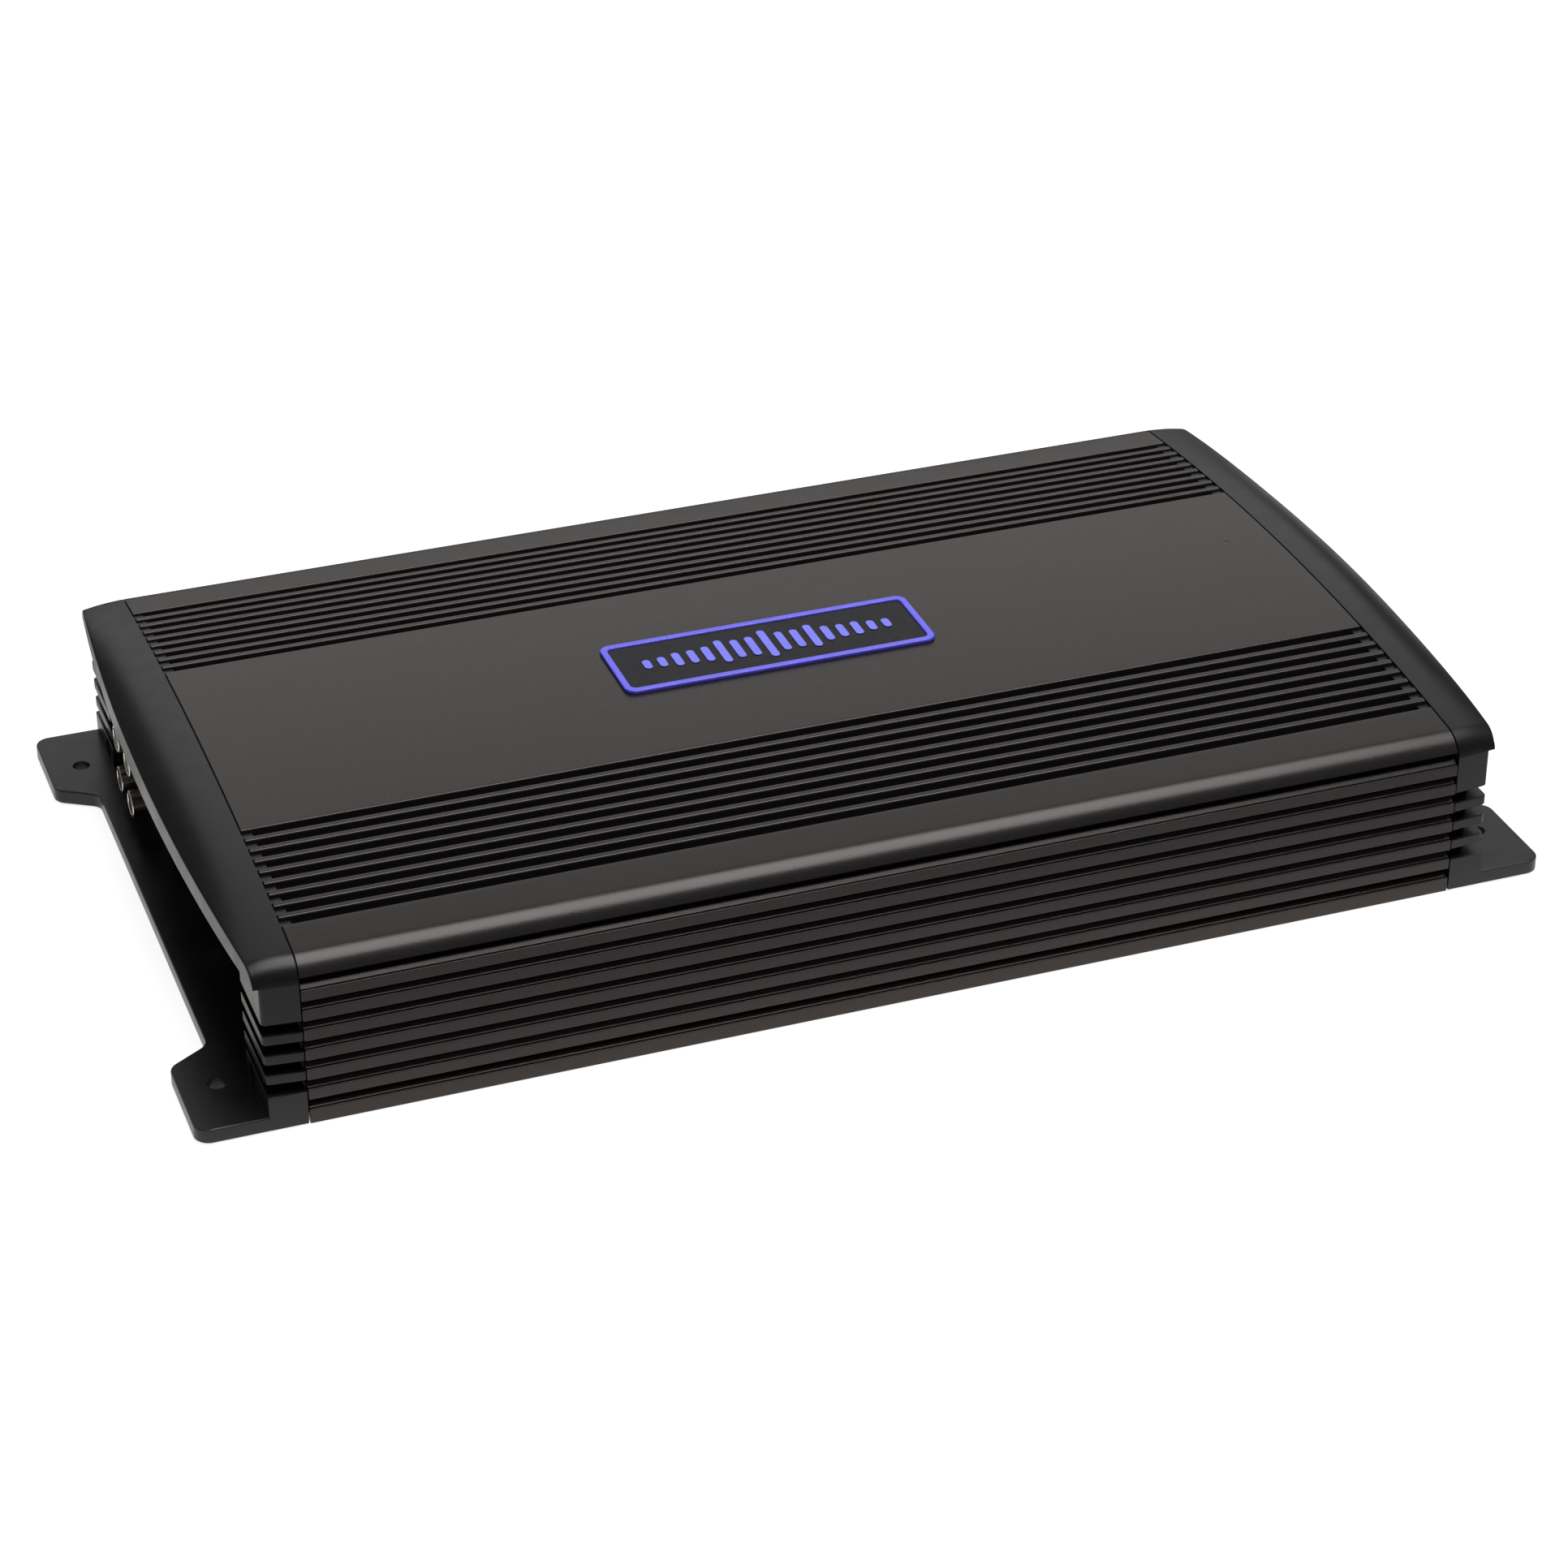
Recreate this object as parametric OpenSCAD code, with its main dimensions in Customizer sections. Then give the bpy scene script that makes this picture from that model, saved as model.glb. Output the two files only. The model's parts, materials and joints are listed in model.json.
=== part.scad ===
// Car amplifier: extruded heatsink body, two cast end caps with mounting ears,
// signal controls on the left end, power terminals and fuses on the right end.
// Millimetres. X runs along the length, Y to the back, Z up; the origin is on
// the ground under the middle of the body.

/* [Body] */
// Length of the extruded heatsink, end face to end face
sink_len = 342.4; // [342:0.2:346]
// Overall width, front to back
body_w = 224; // [224:0.5:226]
// Height of the crown of the arched top
crown_h = 57; // [56.5:0.5:59]
// Radius of the arched top
crown_r = 940; // [900:10:980]
// Radius of the rounded shoulder between top and side
shoulder_r = 8; // [7:0.5:9]

/* [Cooling fins] */
// Distance from the middle to the first groove in the top
band_in = 47.85; // [46:0.05:49]
// Width of each groove in the top
groove_w = 3.1; // [2.9:0.05:3.2]
// Width of each thin ridge between the grooves
ridge_w = 2.2; // [2.0:0.05:2.3]
// Rounding along the edges of the ridges
ridge_edge_r = 0.4; // [0.2:0.05:0.6]
// Number of grooves in each band
groove_n = 9; // [7:1:9]
// Depth of the grooves
groove_d = 4.5; // [4:0.25:5]
// Height of the top face of the lowest side fin
fin_top = 10.8; // [10.8:0.1:11]
// Distance between side fins
fin_pitch = 6.3; // [6.2:0.05:6.3]
// Thickness of a side fin
fin_t = 3.1; // [2.8:0.1:3.2]
// How far the side fins stand out
fin_d = 4; // [3:0.5:4]
// Radius of the rounded back that rises from the outer edge of each side fin
fin_back_r = 3.2; // [2.8:0.1:3.4]

/* [End caps] */
// Reach of the hood past the seam, at the middle of the cap
hood_reach = 18; // [17:0.5:18]
// Radius of the bowed outer edge of the hood, seen from above
hood_bow_r = 1080; // [1000:20:1200]
// Height of the lower edge of the hood's lip
lip_z = 44.8; // [44.6:0.1:45]
// Share of its height that the hood loses from the seam to the middle of the rim
hood_drop = 0.42; // [0.38:0.02:0.44]
// The same share at the rounded sides of the hood
hood_side_drop = 0.15; // [0.1:0.01:0.2]
// Reach of the corner posts past the seam
post_reach = 10.8; // [10.2:0.1:11]
// Distance from the middle to the inner face of a corner post
post_in = 86.5; // [86:0.5:87]
// Overall length across the mounting ears
ear_span = 404.8; // [404:0.4:408]
// Thickness of the ears and of the strip between them
ear_t = 4.5; // [4:0.25:4.5]
// Diameter of the mounting holes
ear_hole_d = 5.3; // [4.5:0.1:6]
// Distance between mounting holes along the length
hole_span_x = 383.6; // [382:0.2:385]
// Distance between mounting holes across the width
hole_span_y = 182; // [180:0.5:184]

/* [Badge] */
// Length of the badge
badge_l = 97; // [80:1:100]
// Width of the badge
badge_w = 29.3; // [26:0.1:32]
// Width of the badge's raised frame
badge_rim = 2.2; // [1.5:0.1:2.5]

/* [Signal end] */
// Outer radius of the phono sockets
phono_r = 4.15; // [4.1:0.05:4.2]
// Spacing of the phono sockets from front to back
phono_pitch_y = 15.1; // [14:0.1:15.5]
// Spacing of the phono sockets up and down
phono_pitch_z = 14.1; // [14:0.1:14.5]
// Radius of the control knobs
knob_r = 4.6; // [4:0.1:5]
// Spacing of the control knobs
knob_pitch = 16; // [15:0.5:16]
// Travel of the slide switches
switch_travel = 4; // [3:0.5:4]

/* [Power end] */
// Spacing of the speaker terminals
speaker_pitch = 11; // [10.5:0.25:11]
// Spacing of the power terminals
power_pitch = 15; // [14.5:0.25:15]
// Spacing of the blade fuses
fuse_pitch = 11; // [9:0.5:12]

/* [Hidden] */

// Roundness of large and small circles
arch_fn = 720;
round_fn = 48;
small_fn = 24;
// Clearance between parts that only sit beside each other
gap = 0.15;
// Running clearance of a turning shaft in its hole
run_gap = 0.05;
// Overcut that keeps boolean faces apart
over = 0.5;

half_w = body_w / 2;
sink_end = sink_len / 2;
seam_gap = 0.4;
seam = sink_end + seam_gap;

// Arched top: height at a distance y from the middle
function crown(y) = crown_h - crown_r + sqrt(crown_r * crown_r - y * y);
shoulder_y = half_w - shoulder_r;
shoulder_z = crown_h - crown_r + sqrt(pow(crown_r - shoulder_r, 2) - shoulder_y * shoulder_y);

// Grooves and ridges
ridge_pitch = groove_w + ridge_w;
band_out = band_in + groove_n * groove_w + (groove_n - 1) * ridge_w;

// Side wall of the heatsink
fin_n = 6;
wall_root = half_w - fin_d;
wall_in = half_w - 9;
foot_t = 4.6;
shoulder_foot = 46.4;
// Thickness of the roof under the crown
roof_t = 8.5;
rail_in = 90;
rail_top = 11.5;

// Bottom plate and the screws that hold it
plate_t = 1.5;
plate_half_w = wall_in + 3.3;
plate_screw_y = 99.5;
plate_screw_x = [-150, -50, 50, 150];
thread_r = 1.45;
thread_hole_r = 1.5;

// End cap screws
cap_screw_head_r = 2.7;
cap_screw_head_t = 1.9;
tab_t = 2.5;
sunk_d = 2.4;
upper_screw_y = 80;
upper_screw_z = 39.8;
boss_r = 4;
lower_screw_y = 94;
lower_screw_z = 7.4;

// Panels behind the bays
panel_t = 1.5;
panel_out = sink_end + panel_t;
panel_half_w = post_in - 0.4;
panel_low = ear_t + 0.2;

// Hood of the cap
hood_steps = 12;
hood_power = 2.6;
hood_level = 49;
arch_steps = 36;
shoulder_steps = 8;
side_taper = 0.105;
bay_drop = 7.5;
lip_t = 2.6;
post_y = shoulder_y + sqrt(shoulder_r * shoulder_r - pow(lip_z - shoulder_z, 2));
post_out = seam + post_reach;
post_high = fin_top + 4 * fin_pitch - fin_t;
tooth_len = 3;
tooth_drop = 0.9;

// Ear outline
ear_out = ear_span / 2;
strip_out = seam + 18.6;
ear_in_y = 79;
strip_in_y = 71.5;
ear_r = 4.5;

// Badge
pocket_d = 0.4;
badge_floor = crown_h - pocket_d;
badge_r = 3.4;

// Circuit board
board_low = 7;
board_top = 8.6;
board_half_l = 169;
board_half_w = 89;
board_screw_x = [-120, 0, 120];
board_screw_y = 80;

// Signal end
phono_y = 56.05;
phono_z = 20.25;
phono_face = panel_out + 2.9;
phono_tip = seam + 13.4;
phono_wall = 0.95;
knob_y0 = 28;
knob_z = 31;
knob_back = panel_out + 2.3;
knob_front = knob_back + 6.2;
knob_n = 4;
shaft_r = 1.5;
bushing_r = 3.4;
switch_z = 13.6;
switch_ys = [20, -12];
jack_y = -41;
jack_w = 13;
vent_n = 6;

// Power end
block_face = panel_out + 3.3;
terminal_z = 21;
speaker_n = 4;
speaker_y0 = 73;
power_n = 3;
power_y0 = 17;
fuse_n = 3;
fuse_y0 = -40;
fuse_z = 23;
fuse_back = block_face + 0.4;
fuse_reach = 10.2;

// Inner parts
lamp_x = 156;
lamp_y = 13.8;
lamp_r = 1;
collar_r = 2;
led_top = 13.4;
// Underside of the roof beside the lamp's collar
lamp_ceiling = crown(lamp_y + collar_r) - roof_t;
toroid_x = [52, 108];
transistor_n = 6;
transistor_pitch = 48;
clamp_x = [-72, 72];
clamp_z = 24;
pad_t = 0.3;
case_t = 4.9;

function span(n, pitch) = [for (i = [0 : n - 1]) (i - (n - 1) / 2) * pitch];

module both_ends() {
    children();
    mirror([1, 0, 0]) children();
}
module both_sides() {
    children();
    mirror([0, 1, 0]) children();
}
// A 2D shape drawn in Y and Z, pulled along X from x0 to x1
module along_x(x0, x1) {
    translate([x0, 0, 0]) rotate([90, 0, 90]) linear_extrude(x1 - x0) children();
}
// A box given by its two corners
module block(low, high) {
    translate(low) cube(high - low);
}
// A round bar along X
module rod_x(x0, x1, y, z, r, fn = round_fn) {
    translate([x0, y, z]) rotate([0, 90, 0]) cylinder(r = r, h = x1 - x0, $fn = fn);
}
module rod_y(x, y0, y1, z, r) {
    translate([x, y0, z]) rotate([-90, 0, 0]) cylinder(r = r, h = y1 - y0, $fn = small_fn);
}
module rod_z(x, y, z0, z1, r, fn = round_fn) {
    translate([x, y, z0]) cylinder(r = r, h = z1 - z0, $fn = fn);
}
module rounded_rect(l, w, r) {
    square([l - 2 * r, w], center = true);
    square([l, w - 2 * r], center = true);
    for (x = [-1, 1], y = [-1, 1]) {
        translate([x * (l / 2 - r), y * (w / 2 - r)]) circle(r = r, $fn = round_fn);
    }
}
// Cross slot of a screw head, centred on the axis and cut down from z = 0
module cross_slot(size, depth) {
    for (turn = [0, 90]) {
        rotate(turn) translate([-size / 2, -size / 8, -depth]) cube([size, size / 4, depth + over]);
    }
}

// ---- Heatsink ---------------------------------------------------------

module crown_disc(drop) {
    translate([0, crown_h - crown_r]) circle(r = crown_r - drop, $fn = arch_fn);
}
module sink_outline() {
    intersection() {
        crown_disc(0);
        translate([-shoulder_y, 0]) square([2 * shoulder_y, crown_h + over]);
    }
    translate([-wall_root, 0]) square([2 * wall_root, shoulder_foot]);
    both_sides_2d() intersection() {
        translate([shoulder_y, shoulder_z]) circle(r = shoulder_r, $fn = 96);
        translate([shoulder_y - over, shoulder_foot]) square([shoulder_r + 1, crown_h]);
    }
}
module both_sides_2d() {
    children();
    mirror([1, 0]) children();
}
module side_fins_2d() {
    // Each fin has an upright outer face and a rounded back that rises towards its root
    back = arc_points([half_w - fin_back_r * cos(30), -fin_back_r * sin(30)], fin_back_r, 30, 80, 6);
    for (k = [0 : fin_n - 1]) translate([0, fin_top + k * fin_pitch])
        polygon(concat(
            [[wall_root - over, -fin_t], [half_w, -fin_t]],
            back,
            [[wall_root - over, back[6].y]]
        ));
    translate([wall_root - over, 0]) square([fin_d + over, foot_t]);
}
module groove_band_2d() {
    difference() {
        translate([band_in, crown_h / 2]) square([band_out - band_in, crown_h]);
        crown_disc(groove_d);
        for (k = [1 : groove_n - 1]) ridge_2d(band_in + k * ridge_pitch - ridge_w);
    }
}
module ridge_2d(y) {
    // The flat top follows the crown, with a rounding along both of its edges
    r = ridge_edge_r;
    y0 = y + r;
    y1 = y + ridge_w - r;
    low = crown(y1) - 2 * groove_d;
    polygon([
        [y, low], [y + ridge_w, low], [y + ridge_w, crown(y1) - r],
        [y1, crown(y1)], [y0, crown(y0)], [y, crown(y0) - r]
    ]);
    translate([y0, crown(y0) - r]) circle(r = r, $fn = small_fn);
    translate([y1, crown(y1) - r]) circle(r = r, $fn = small_fn);
}
module sink_hollow_2d() {
    translate([-plate_half_w - gap, -over]) square([2 * (plate_half_w + gap), plate_t + over]);
    difference() {
        intersection() {
            crown_disc(roof_t);
            translate([-wall_in, 0]) square([2 * wall_in, crown_h]);
        }
        both_sides_2d() translate([rail_in, plate_t]) square([wall_in, rail_top - plate_t]);
        both_sides_2d() {
            translate([upper_screw_y, upper_screw_z]) circle(r = boss_r, $fn = round_fn);
            translate([upper_screw_y - boss_r, upper_screw_z]) square([2 * boss_r, crown_h / 4]);
        }
    }
}
module screw_channels_2d() {
    both_sides_2d() {
        translate([upper_screw_y, upper_screw_z]) circle(r = thread_hole_r, $fn = small_fn);
        translate([lower_screw_y, lower_screw_z]) circle(r = thread_hole_r, $fn = small_fn);
    }
}
module heatsink() {
    color([0.27, 0.26, 0.26]) difference() {
        along_x(-sink_end, sink_end) difference() {
            union() {
                sink_outline();
                both_sides_2d() side_fins_2d();
            }
            both_sides_2d() groove_band_2d();
            sink_hollow_2d();
            screw_channels_2d();
        }
        translate([0, 0, badge_floor]) linear_extrude(pocket_d + over)
            rounded_rect(badge_l + 2 * gap, badge_w + 2 * gap, badge_r + gap);
        rod_z(lamp_x, lamp_y, lamp_ceiling - over, crown_h + over, lamp_r + run_gap, small_fn);
        for (x = plate_screw_x, s = [-1, 1])
            rod_z(x, s * plate_screw_y, plate_t - over, rail_top - 1, thread_hole_r, small_fn);
        both_sides() for (x = clamp_x, d = [-transistor_pitch / 2, transistor_pitch / 2])
            rod_y(x + d, wall_in - over, wall_in + 3.5, clamp_z, thread_hole_r);
    }
}

// ---- End caps -----------------------------------------------------------

tangent_a = acos(shoulder_y / (crown_r - shoulder_r));
shoulder_a0 = asin((lip_z - shoulder_z) / shoulder_r);
// Outline of the hood at the seam, from the back lip over the crown to the front
half_outline = [
    for (i = [0 : shoulder_steps])
        let (a = shoulder_a0 + i / shoulder_steps * (tangent_a - shoulder_a0))
        [shoulder_y + shoulder_r * cos(a), shoulder_z + shoulder_r * sin(a)],
    for (i = [1 : arch_steps / 2])
        let (a = tangent_a + i / (arch_steps / 2) * (90 - tangent_a))
        [crown_r * cos(a), crown_h - crown_r + crown_r * sin(a)]
];
half_last = len(half_outline) - 1;
hood_outline = concat(
    half_outline,
    [for (i = [half_last - 1 : -1 : 0]) [-half_outline[i][0], half_outline[i][1]]]
);
function rim_x(y) = seam + hood_reach - hood_bow_r + sqrt(hood_bow_r * hood_bow_r - y * y);
side_shrink = side_taper * (rim_x(half_w) - seam) / half_w;
function hood_share(z) =
    let (high = min(1, max(0, (z - hood_level) / (crown_h - hood_level))))
    hood_side_drop + (hood_drop - hood_side_drop) * high * high * (3 - 2 * high);
function hood_point(p, t) = [
    seam + t * (rim_x(p[0]) - seam),
    p[0] * (1 - side_shrink * t),
    lip_z + (p[1] - lip_z) * (1 - hood_share(p[1]) * pow(t, hood_power))
];
module hood() {
    n = len(hood_outline);
    m = hood_steps;
    skin = [for (j = [0 : m], i = [0 : n - 1]) hood_point(hood_outline[i], j / m)];
    lip = [for (i = [1 : n - 2]) let (q = hood_point(hood_outline[i], 1)) [q[0], q[1], lip_z]];
    low = (m + 1) * n - 1;
    rim = m * n;
    top_faces = [
        for (j = [0 : m - 1], i = [0 : n - 2])
            let (a = j * n + i)
            each [[a, a + n, a + 1], [a + 1, a + n, a + n + 1]]
    ];
    lip_faces = [
        for (i = [1 : n - 3])
            each [[rim + i, low + i, rim + i + 1], [rim + i + 1, low + i, low + i + 1]]
    ];
    corner_faces = [
        [rim, low + 1, rim + 1],
        [rim + n - 2, low + n - 2, rim + n - 1]
    ];
    seam_face = [[for (i = [0 : n - 1]) i]];
    // Underside: strips between the two sides, then the bow of the rim
    under_faces = [
        for (j = [0 : m - 1])
            let (a = j * n, b = a + n - 1)
            each [[a, b, a + n], [b, b + n, a + n]]
    ];
    bow_face = [concat([rim + n - 1], [for (i = [n - 2 : -1 : 1]) low + i], [rim])];
    sides = concat(top_faces, lip_faces, corner_faces);
    polyhedron(concat(skin, lip), concat(sides, seam_face, under_faces, bow_face));
}
// Plan of a corner post, its sides set in by d from the outer faces
module post_plan(d, x0) {
    y_at_seam = post_y - d;
    x1 = post_out - d;
    y_at_end = y_at_seam - side_taper * (x1 - x0);
    r = 1;
    polygon([[x0, post_in], [x1, post_in], [x1, y_at_end - r], [x1 - r, y_at_end], [x0, y_at_seam]]);
}
module post_slab(z0, z1) {
    translate([0, 0, z0]) linear_extrude(z1 - z0) post_plan(0, seam);
}
// Foot of a post, flush with the outer edge of the ear
module post_foot() {
    r = 0.6;
    linear_extrude(fin_top) polygon([
        [seam, post_in], [post_out, post_in],
        [post_out, half_w - r], [post_out - r, half_w], [seam, half_w]
    ]);
}
module corner_post() {
    post_foot();
    for (k = [1 : 3]) {
        z = fin_top + k * fin_pitch;
        post_slab(z - fin_t, z);
    }
    post_slab(post_high, lip_z + 0.6);
    translate([0, 0, 1]) linear_extrude(lip_z - 0.5) post_plan(fin_d, sink_end);
}
function arc_points(c, r, a0, a1, n) =
    [for (i = [0 : n]) let (a = a0 + i / n * (a1 - a0)) c + r * [cos(a), sin(a)]];
module ear_plan() {
    slant = atan2(ear_in_y - strip_in_y, ear_out - strip_out);
    // Centres of the two rounded corners of the ear and of the inner fillet
    c1 = [ear_out - ear_r, half_w - ear_r];
    c2 = [ear_out - ear_r, ear_in_y + ear_r * (1 / cos(slant) - tan(slant))];
    c3 = [strip_out + ear_r, strip_in_y - ear_r * (1 / cos(slant) - tan(slant))];
    polygon(concat(
        [[seam, 0], [strip_out, 0]],
        arc_points(c3, ear_r, 180, 90 + slant, 6),
        arc_points(c2, ear_r, slant - 90, 0, 8),
        arc_points(c1, ear_r, 0, 90, 8),
        [[seam, half_w]]
    ));
}
module flange() {
    both_sides() linear_extrude(ear_t) ear_plan();
}
module teeth() {
    both_sides() for (k = [0 : groove_n - 1]) {
        y = band_in + k * ridge_pitch + gap;
        z = crown(y + groove_w / 2);
        floor_z = crown(y - gap) - groove_d;
        block([sink_end - tooth_len, y, floor_z + gap],
            [seam + 1, y + groove_w - 2 * gap, z - tooth_drop]);
    }
}
// Ring inside the skin that meets the heatsink and leaves the fine dark seam
module seam_ring() {
    along_x(sink_end, seam + 1) intersection() {
        crown_disc(1.2);
        translate([-post_y + 1.2, lip_z]) square([2 * post_y - 2.4, crown_h]);
        union() {
            translate([-shoulder_y + 1, 0]) square([2 * shoulder_y - 2, crown_h]);
            both_sides_2d() translate([shoulder_y, shoulder_z])
                circle(r = shoulder_r - 1.2, $fn = round_fn);
        }
    }
}
// The open bay under the hood: everything inside the lip and between the posts
module bay() {
    intersection() {
        along_x(sink_end - over, seam + hood_reach) intersection() {
            crown_disc(bay_drop);
            translate([-post_in, ear_t]) square([2 * post_in, crown_h]);
        }
        translate([seam + hood_reach - hood_bow_r, 0, 0])
            cylinder(r = hood_bow_r - lip_t, h = crown_h, $fn = arch_fn);
    }
}
// Tab in the upper corner of the bay that takes an upper cap screw
module screw_tab() {
    block([panel_out, upper_screw_y - 5, upper_screw_z - 4.5],
        [panel_out + tab_t, post_in + 1, lip_z + 0.9]);
}
module cap() {
    difference() {
        union() {
            difference() {
                union() {
                    hood();
                    seam_ring();
                }
                bay();
            }
            both_sides() {
                corner_post();
                screw_tab();
            }
            flange();
            teeth();
        }
        both_sides() {
            rod_z(hole_span_x / 2, hole_span_y / 2, -over, ear_t + over, ear_hole_d / 2);
            translate([0, upper_screw_y, upper_screw_z])
                rod_x(sink_end - over, panel_out + tab_t + over, 0, 0, thread_hole_r, small_fn);
            translate([0, lower_screw_y, lower_screw_z]) {
                rod_x(sink_end - over, post_out + over, 0, 0, thread_hole_r, small_fn);
                rod_x(post_out - sunk_d, post_out + over, 0, 0, cap_screw_head_r + gap);
            }
        }
    }
}
module end_cap_right() {
    color([0.2, 0.2, 0.21]) cap();
}
module end_cap_left() {
    color([0.2, 0.2, 0.21]) mirror([1, 0, 0]) cap();
}

// Pan-head screw along X: the head's underside is at x, the thread points inwards
module cap_screw(x, y, z, reach) {
    difference() {
        union() {
            rod_x(x, x + cap_screw_head_t, y, z, cap_screw_head_r, small_fn);
            rod_x(x - reach, x + over, y, z, thread_r, small_fn);
        }
        translate([x + cap_screw_head_t, y, z]) rotate([0, 90, 0]) cross_slot(3.2, 1.2);
    }
}
module cap_screws_upper() {
    color("dimgray") both_ends() both_sides()
        cap_screw(panel_out + tab_t, upper_screw_y, upper_screw_z, 14);
}
module cap_screws_lower() {
    color("dimgray") both_ends() both_sides()
        cap_screw(post_out - sunk_d, lower_screw_y, lower_screw_z, 18);
}

// ---- Bottom plate ---------------------------------------------------------

module bottom_plate() {
    color("gray") difference() {
        block([-sink_end, -plate_half_w, 0], [sink_end, plate_half_w, plate_t]);
        for (x = plate_screw_x, s = [-1, 1]) {
            rod_z(x, s * plate_screw_y, -over, plate_t + over, thread_hole_r, small_fn);
            translate([x, s * plate_screw_y, -0.01])
                cylinder(r1 = 3.01, r2 = thread_hole_r, h = 1.51, $fn = small_fn);
        }
    }
}
module bottom_screws() {
    color("dimgray") both_sides() for (x = plate_screw_x) translate([x, plate_screw_y]) difference() {
        union() {
            translate([0, 0, 0.1]) cylinder(r1 = 2.75, r2 = thread_r - 0.1, h = 1.4, $fn = small_fn);
            translate([0, 0, 0.2]) cylinder(r = thread_r, h = 8, $fn = small_fn);
        }
        translate([0, 0, 0.1]) mirror([0, 0, 1]) cross_slot(3, 0.9);
    }
}

// ---- Badge ------------------------------------------------------------------

module badge_frame() {
    color([0.43, 0.41, 0.96]) translate([0, 0, badge_floor]) linear_extrude(1.5) difference() {
        rounded_rect(badge_l, badge_w, badge_r);
        rounded_rect(badge_l - 2 * badge_rim, badge_w - 2 * badge_rim, badge_r - badge_rim + 0.6);
    }
}
module badge_plate() {
    inset = badge_rim + 0.03;
    color([0.13, 0.13, 0.14]) translate([0, 0, badge_floor]) linear_extrude(1.0)
        rounded_rect(badge_l - 2 * inset, badge_w - 2 * inset, badge_r - inset + 0.6);
}
// A row of level bars, tall in the middle and short at the ends
bar_n = 17;
bar_pitch = 4.7;
bar_w = 2.5;
function bar_h(i) = 5 + 11.5 * pow(cos(i * 10), 2) * (0.72 + 0.28 * cos(i * 120));
module badge_bars() {
    color([0.5, 0.52, 1]) translate([0, 0, badge_floor + 1.0]) linear_extrude(0.25) for (i = [-8 : 8])
        translate([i * bar_pitch, 0]) rounded_rect(bar_w, bar_h(i), bar_w / 2 - 0.01);
}
module light_pipe() {
    color([0.3, 0.32, 0.4]) {
        rod_z(lamp_x, lamp_y, led_top + 0.6, crown(lamp_y) - 0.1, lamp_r, small_fn);
        rod_z(lamp_x, lamp_y, lamp_ceiling - 2, lamp_ceiling, collar_r, small_fn);
    }
}
module power_led() {
    color([0.3, 0.5, 1]) {
        rod_z(lamp_x, lamp_y, board_top, board_top + 1, 1.9, small_fn);
        rod_z(lamp_x, lamp_y, board_top, led_top, 1.5, small_fn);
    }
}

// ---- Signal end (drawn pointing outwards, then mirrored to the left) --------

module at_left() {
    mirror([1, 0, 0]) children();
}
module panel_blank() {
    difference() {
        along_x(sink_end, panel_out) intersection() {
            crown_disc(bay_drop + gap);
            translate([-panel_half_w, panel_low]) square([2 * panel_half_w, crown_h]);
        }
        both_sides() rod_x(sink_end - over, panel_out + over, upper_screw_y, upper_screw_z,
            thread_hole_r, small_fn);
    }
}
phono_half_y = phono_pitch_y / 2 + 7.4;
phono_low = board_top;
phono_high = phono_z + phono_pitch_z / 2 + 6.4;
module phono_places() {
    for (y = [-1, 1], z = [-1, 1])
        translate([0, phono_y + y * phono_pitch_y / 2, phono_z + z * phono_pitch_z / 2]) children();
}
function knob_y(k) = knob_y0 - k * knob_pitch;
module control_panel() {
    color([0.1, 0.1, 0.1]) at_left() difference() {
        panel_blank();
        block([sink_end - over, phono_y - phono_half_y - gap, phono_low - gap],
            [panel_out + over, phono_y + phono_half_y + gap, phono_high + gap]);
        for (k = [0 : knob_n - 1])
            rod_x(sink_end - over, panel_out + over, knob_y(k), knob_z, bushing_r + gap);
        for (y = switch_ys)
            translate([0, y, switch_z])
                block([sink_end - over, -3.6, -1.7], [panel_out + over, 3.6, 1.7]);
        block([sink_end - over, jack_y - jack_w / 2 - gap, board_top - gap],
            [panel_out + over, jack_y + jack_w / 2 + gap, board_top + jack_w + gap]);
        rod_x(sink_end - over, panel_out + over, jack_y, knob_z, 1.5 + gap, small_fn);
        for (k = [0 : vent_n - 1]) translate([0, -57 - k * 4.4, 0])
            block([sink_end - over, -0.9, 12], [panel_out + over, 0.9, 33]);
    }
}
module phono_housing() {
    color([0.08, 0.08, 0.08]) at_left() difference() {
        block([158, phono_y - phono_half_y, phono_low], [phono_face, phono_y + phono_half_y, phono_high]);
        phono_places() rod_x(162, phono_face + over, 0, 0, phono_r - phono_wall);
    }
}
module phono_shells() {
    color("silver") at_left() phono_places() difference() {
        union() {
            rod_x(phono_face, phono_tip, 0, 0, phono_r);
            rod_x(phono_face, phono_face + 0.8, 0, 0, 5.2);
        }
        rod_x(phono_face - over, phono_tip + over, 0, 0, phono_r - phono_wall);
    }
}
module phono_insert(z) {
    z0 = phono_z + z * phono_pitch_z / 2;
    for (y = [-1, 1]) translate([0, phono_y + y * phono_pitch_y / 2, z0]) difference() {
        rod_x(162, phono_tip - 1.5, 0, 0, phono_r - phono_wall - 0.1);
        rod_x(165, phono_tip, 0, 0, 1.7, small_fn);
    }
}
module phono_inserts_white() {
    color("white") at_left() phono_insert(1);
}
module phono_inserts_red() {
    color("firebrick") at_left() phono_insert(-1);
}
module phono_contacts() {
    color("goldenrod") at_left() phono_places() difference() {
        rod_x(165, phono_tip - 2.2, 0, 0, 1.65, small_fn);
        rod_x(168, phono_tip, 0, 0, 1.3, small_fn);
    }
}
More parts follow.
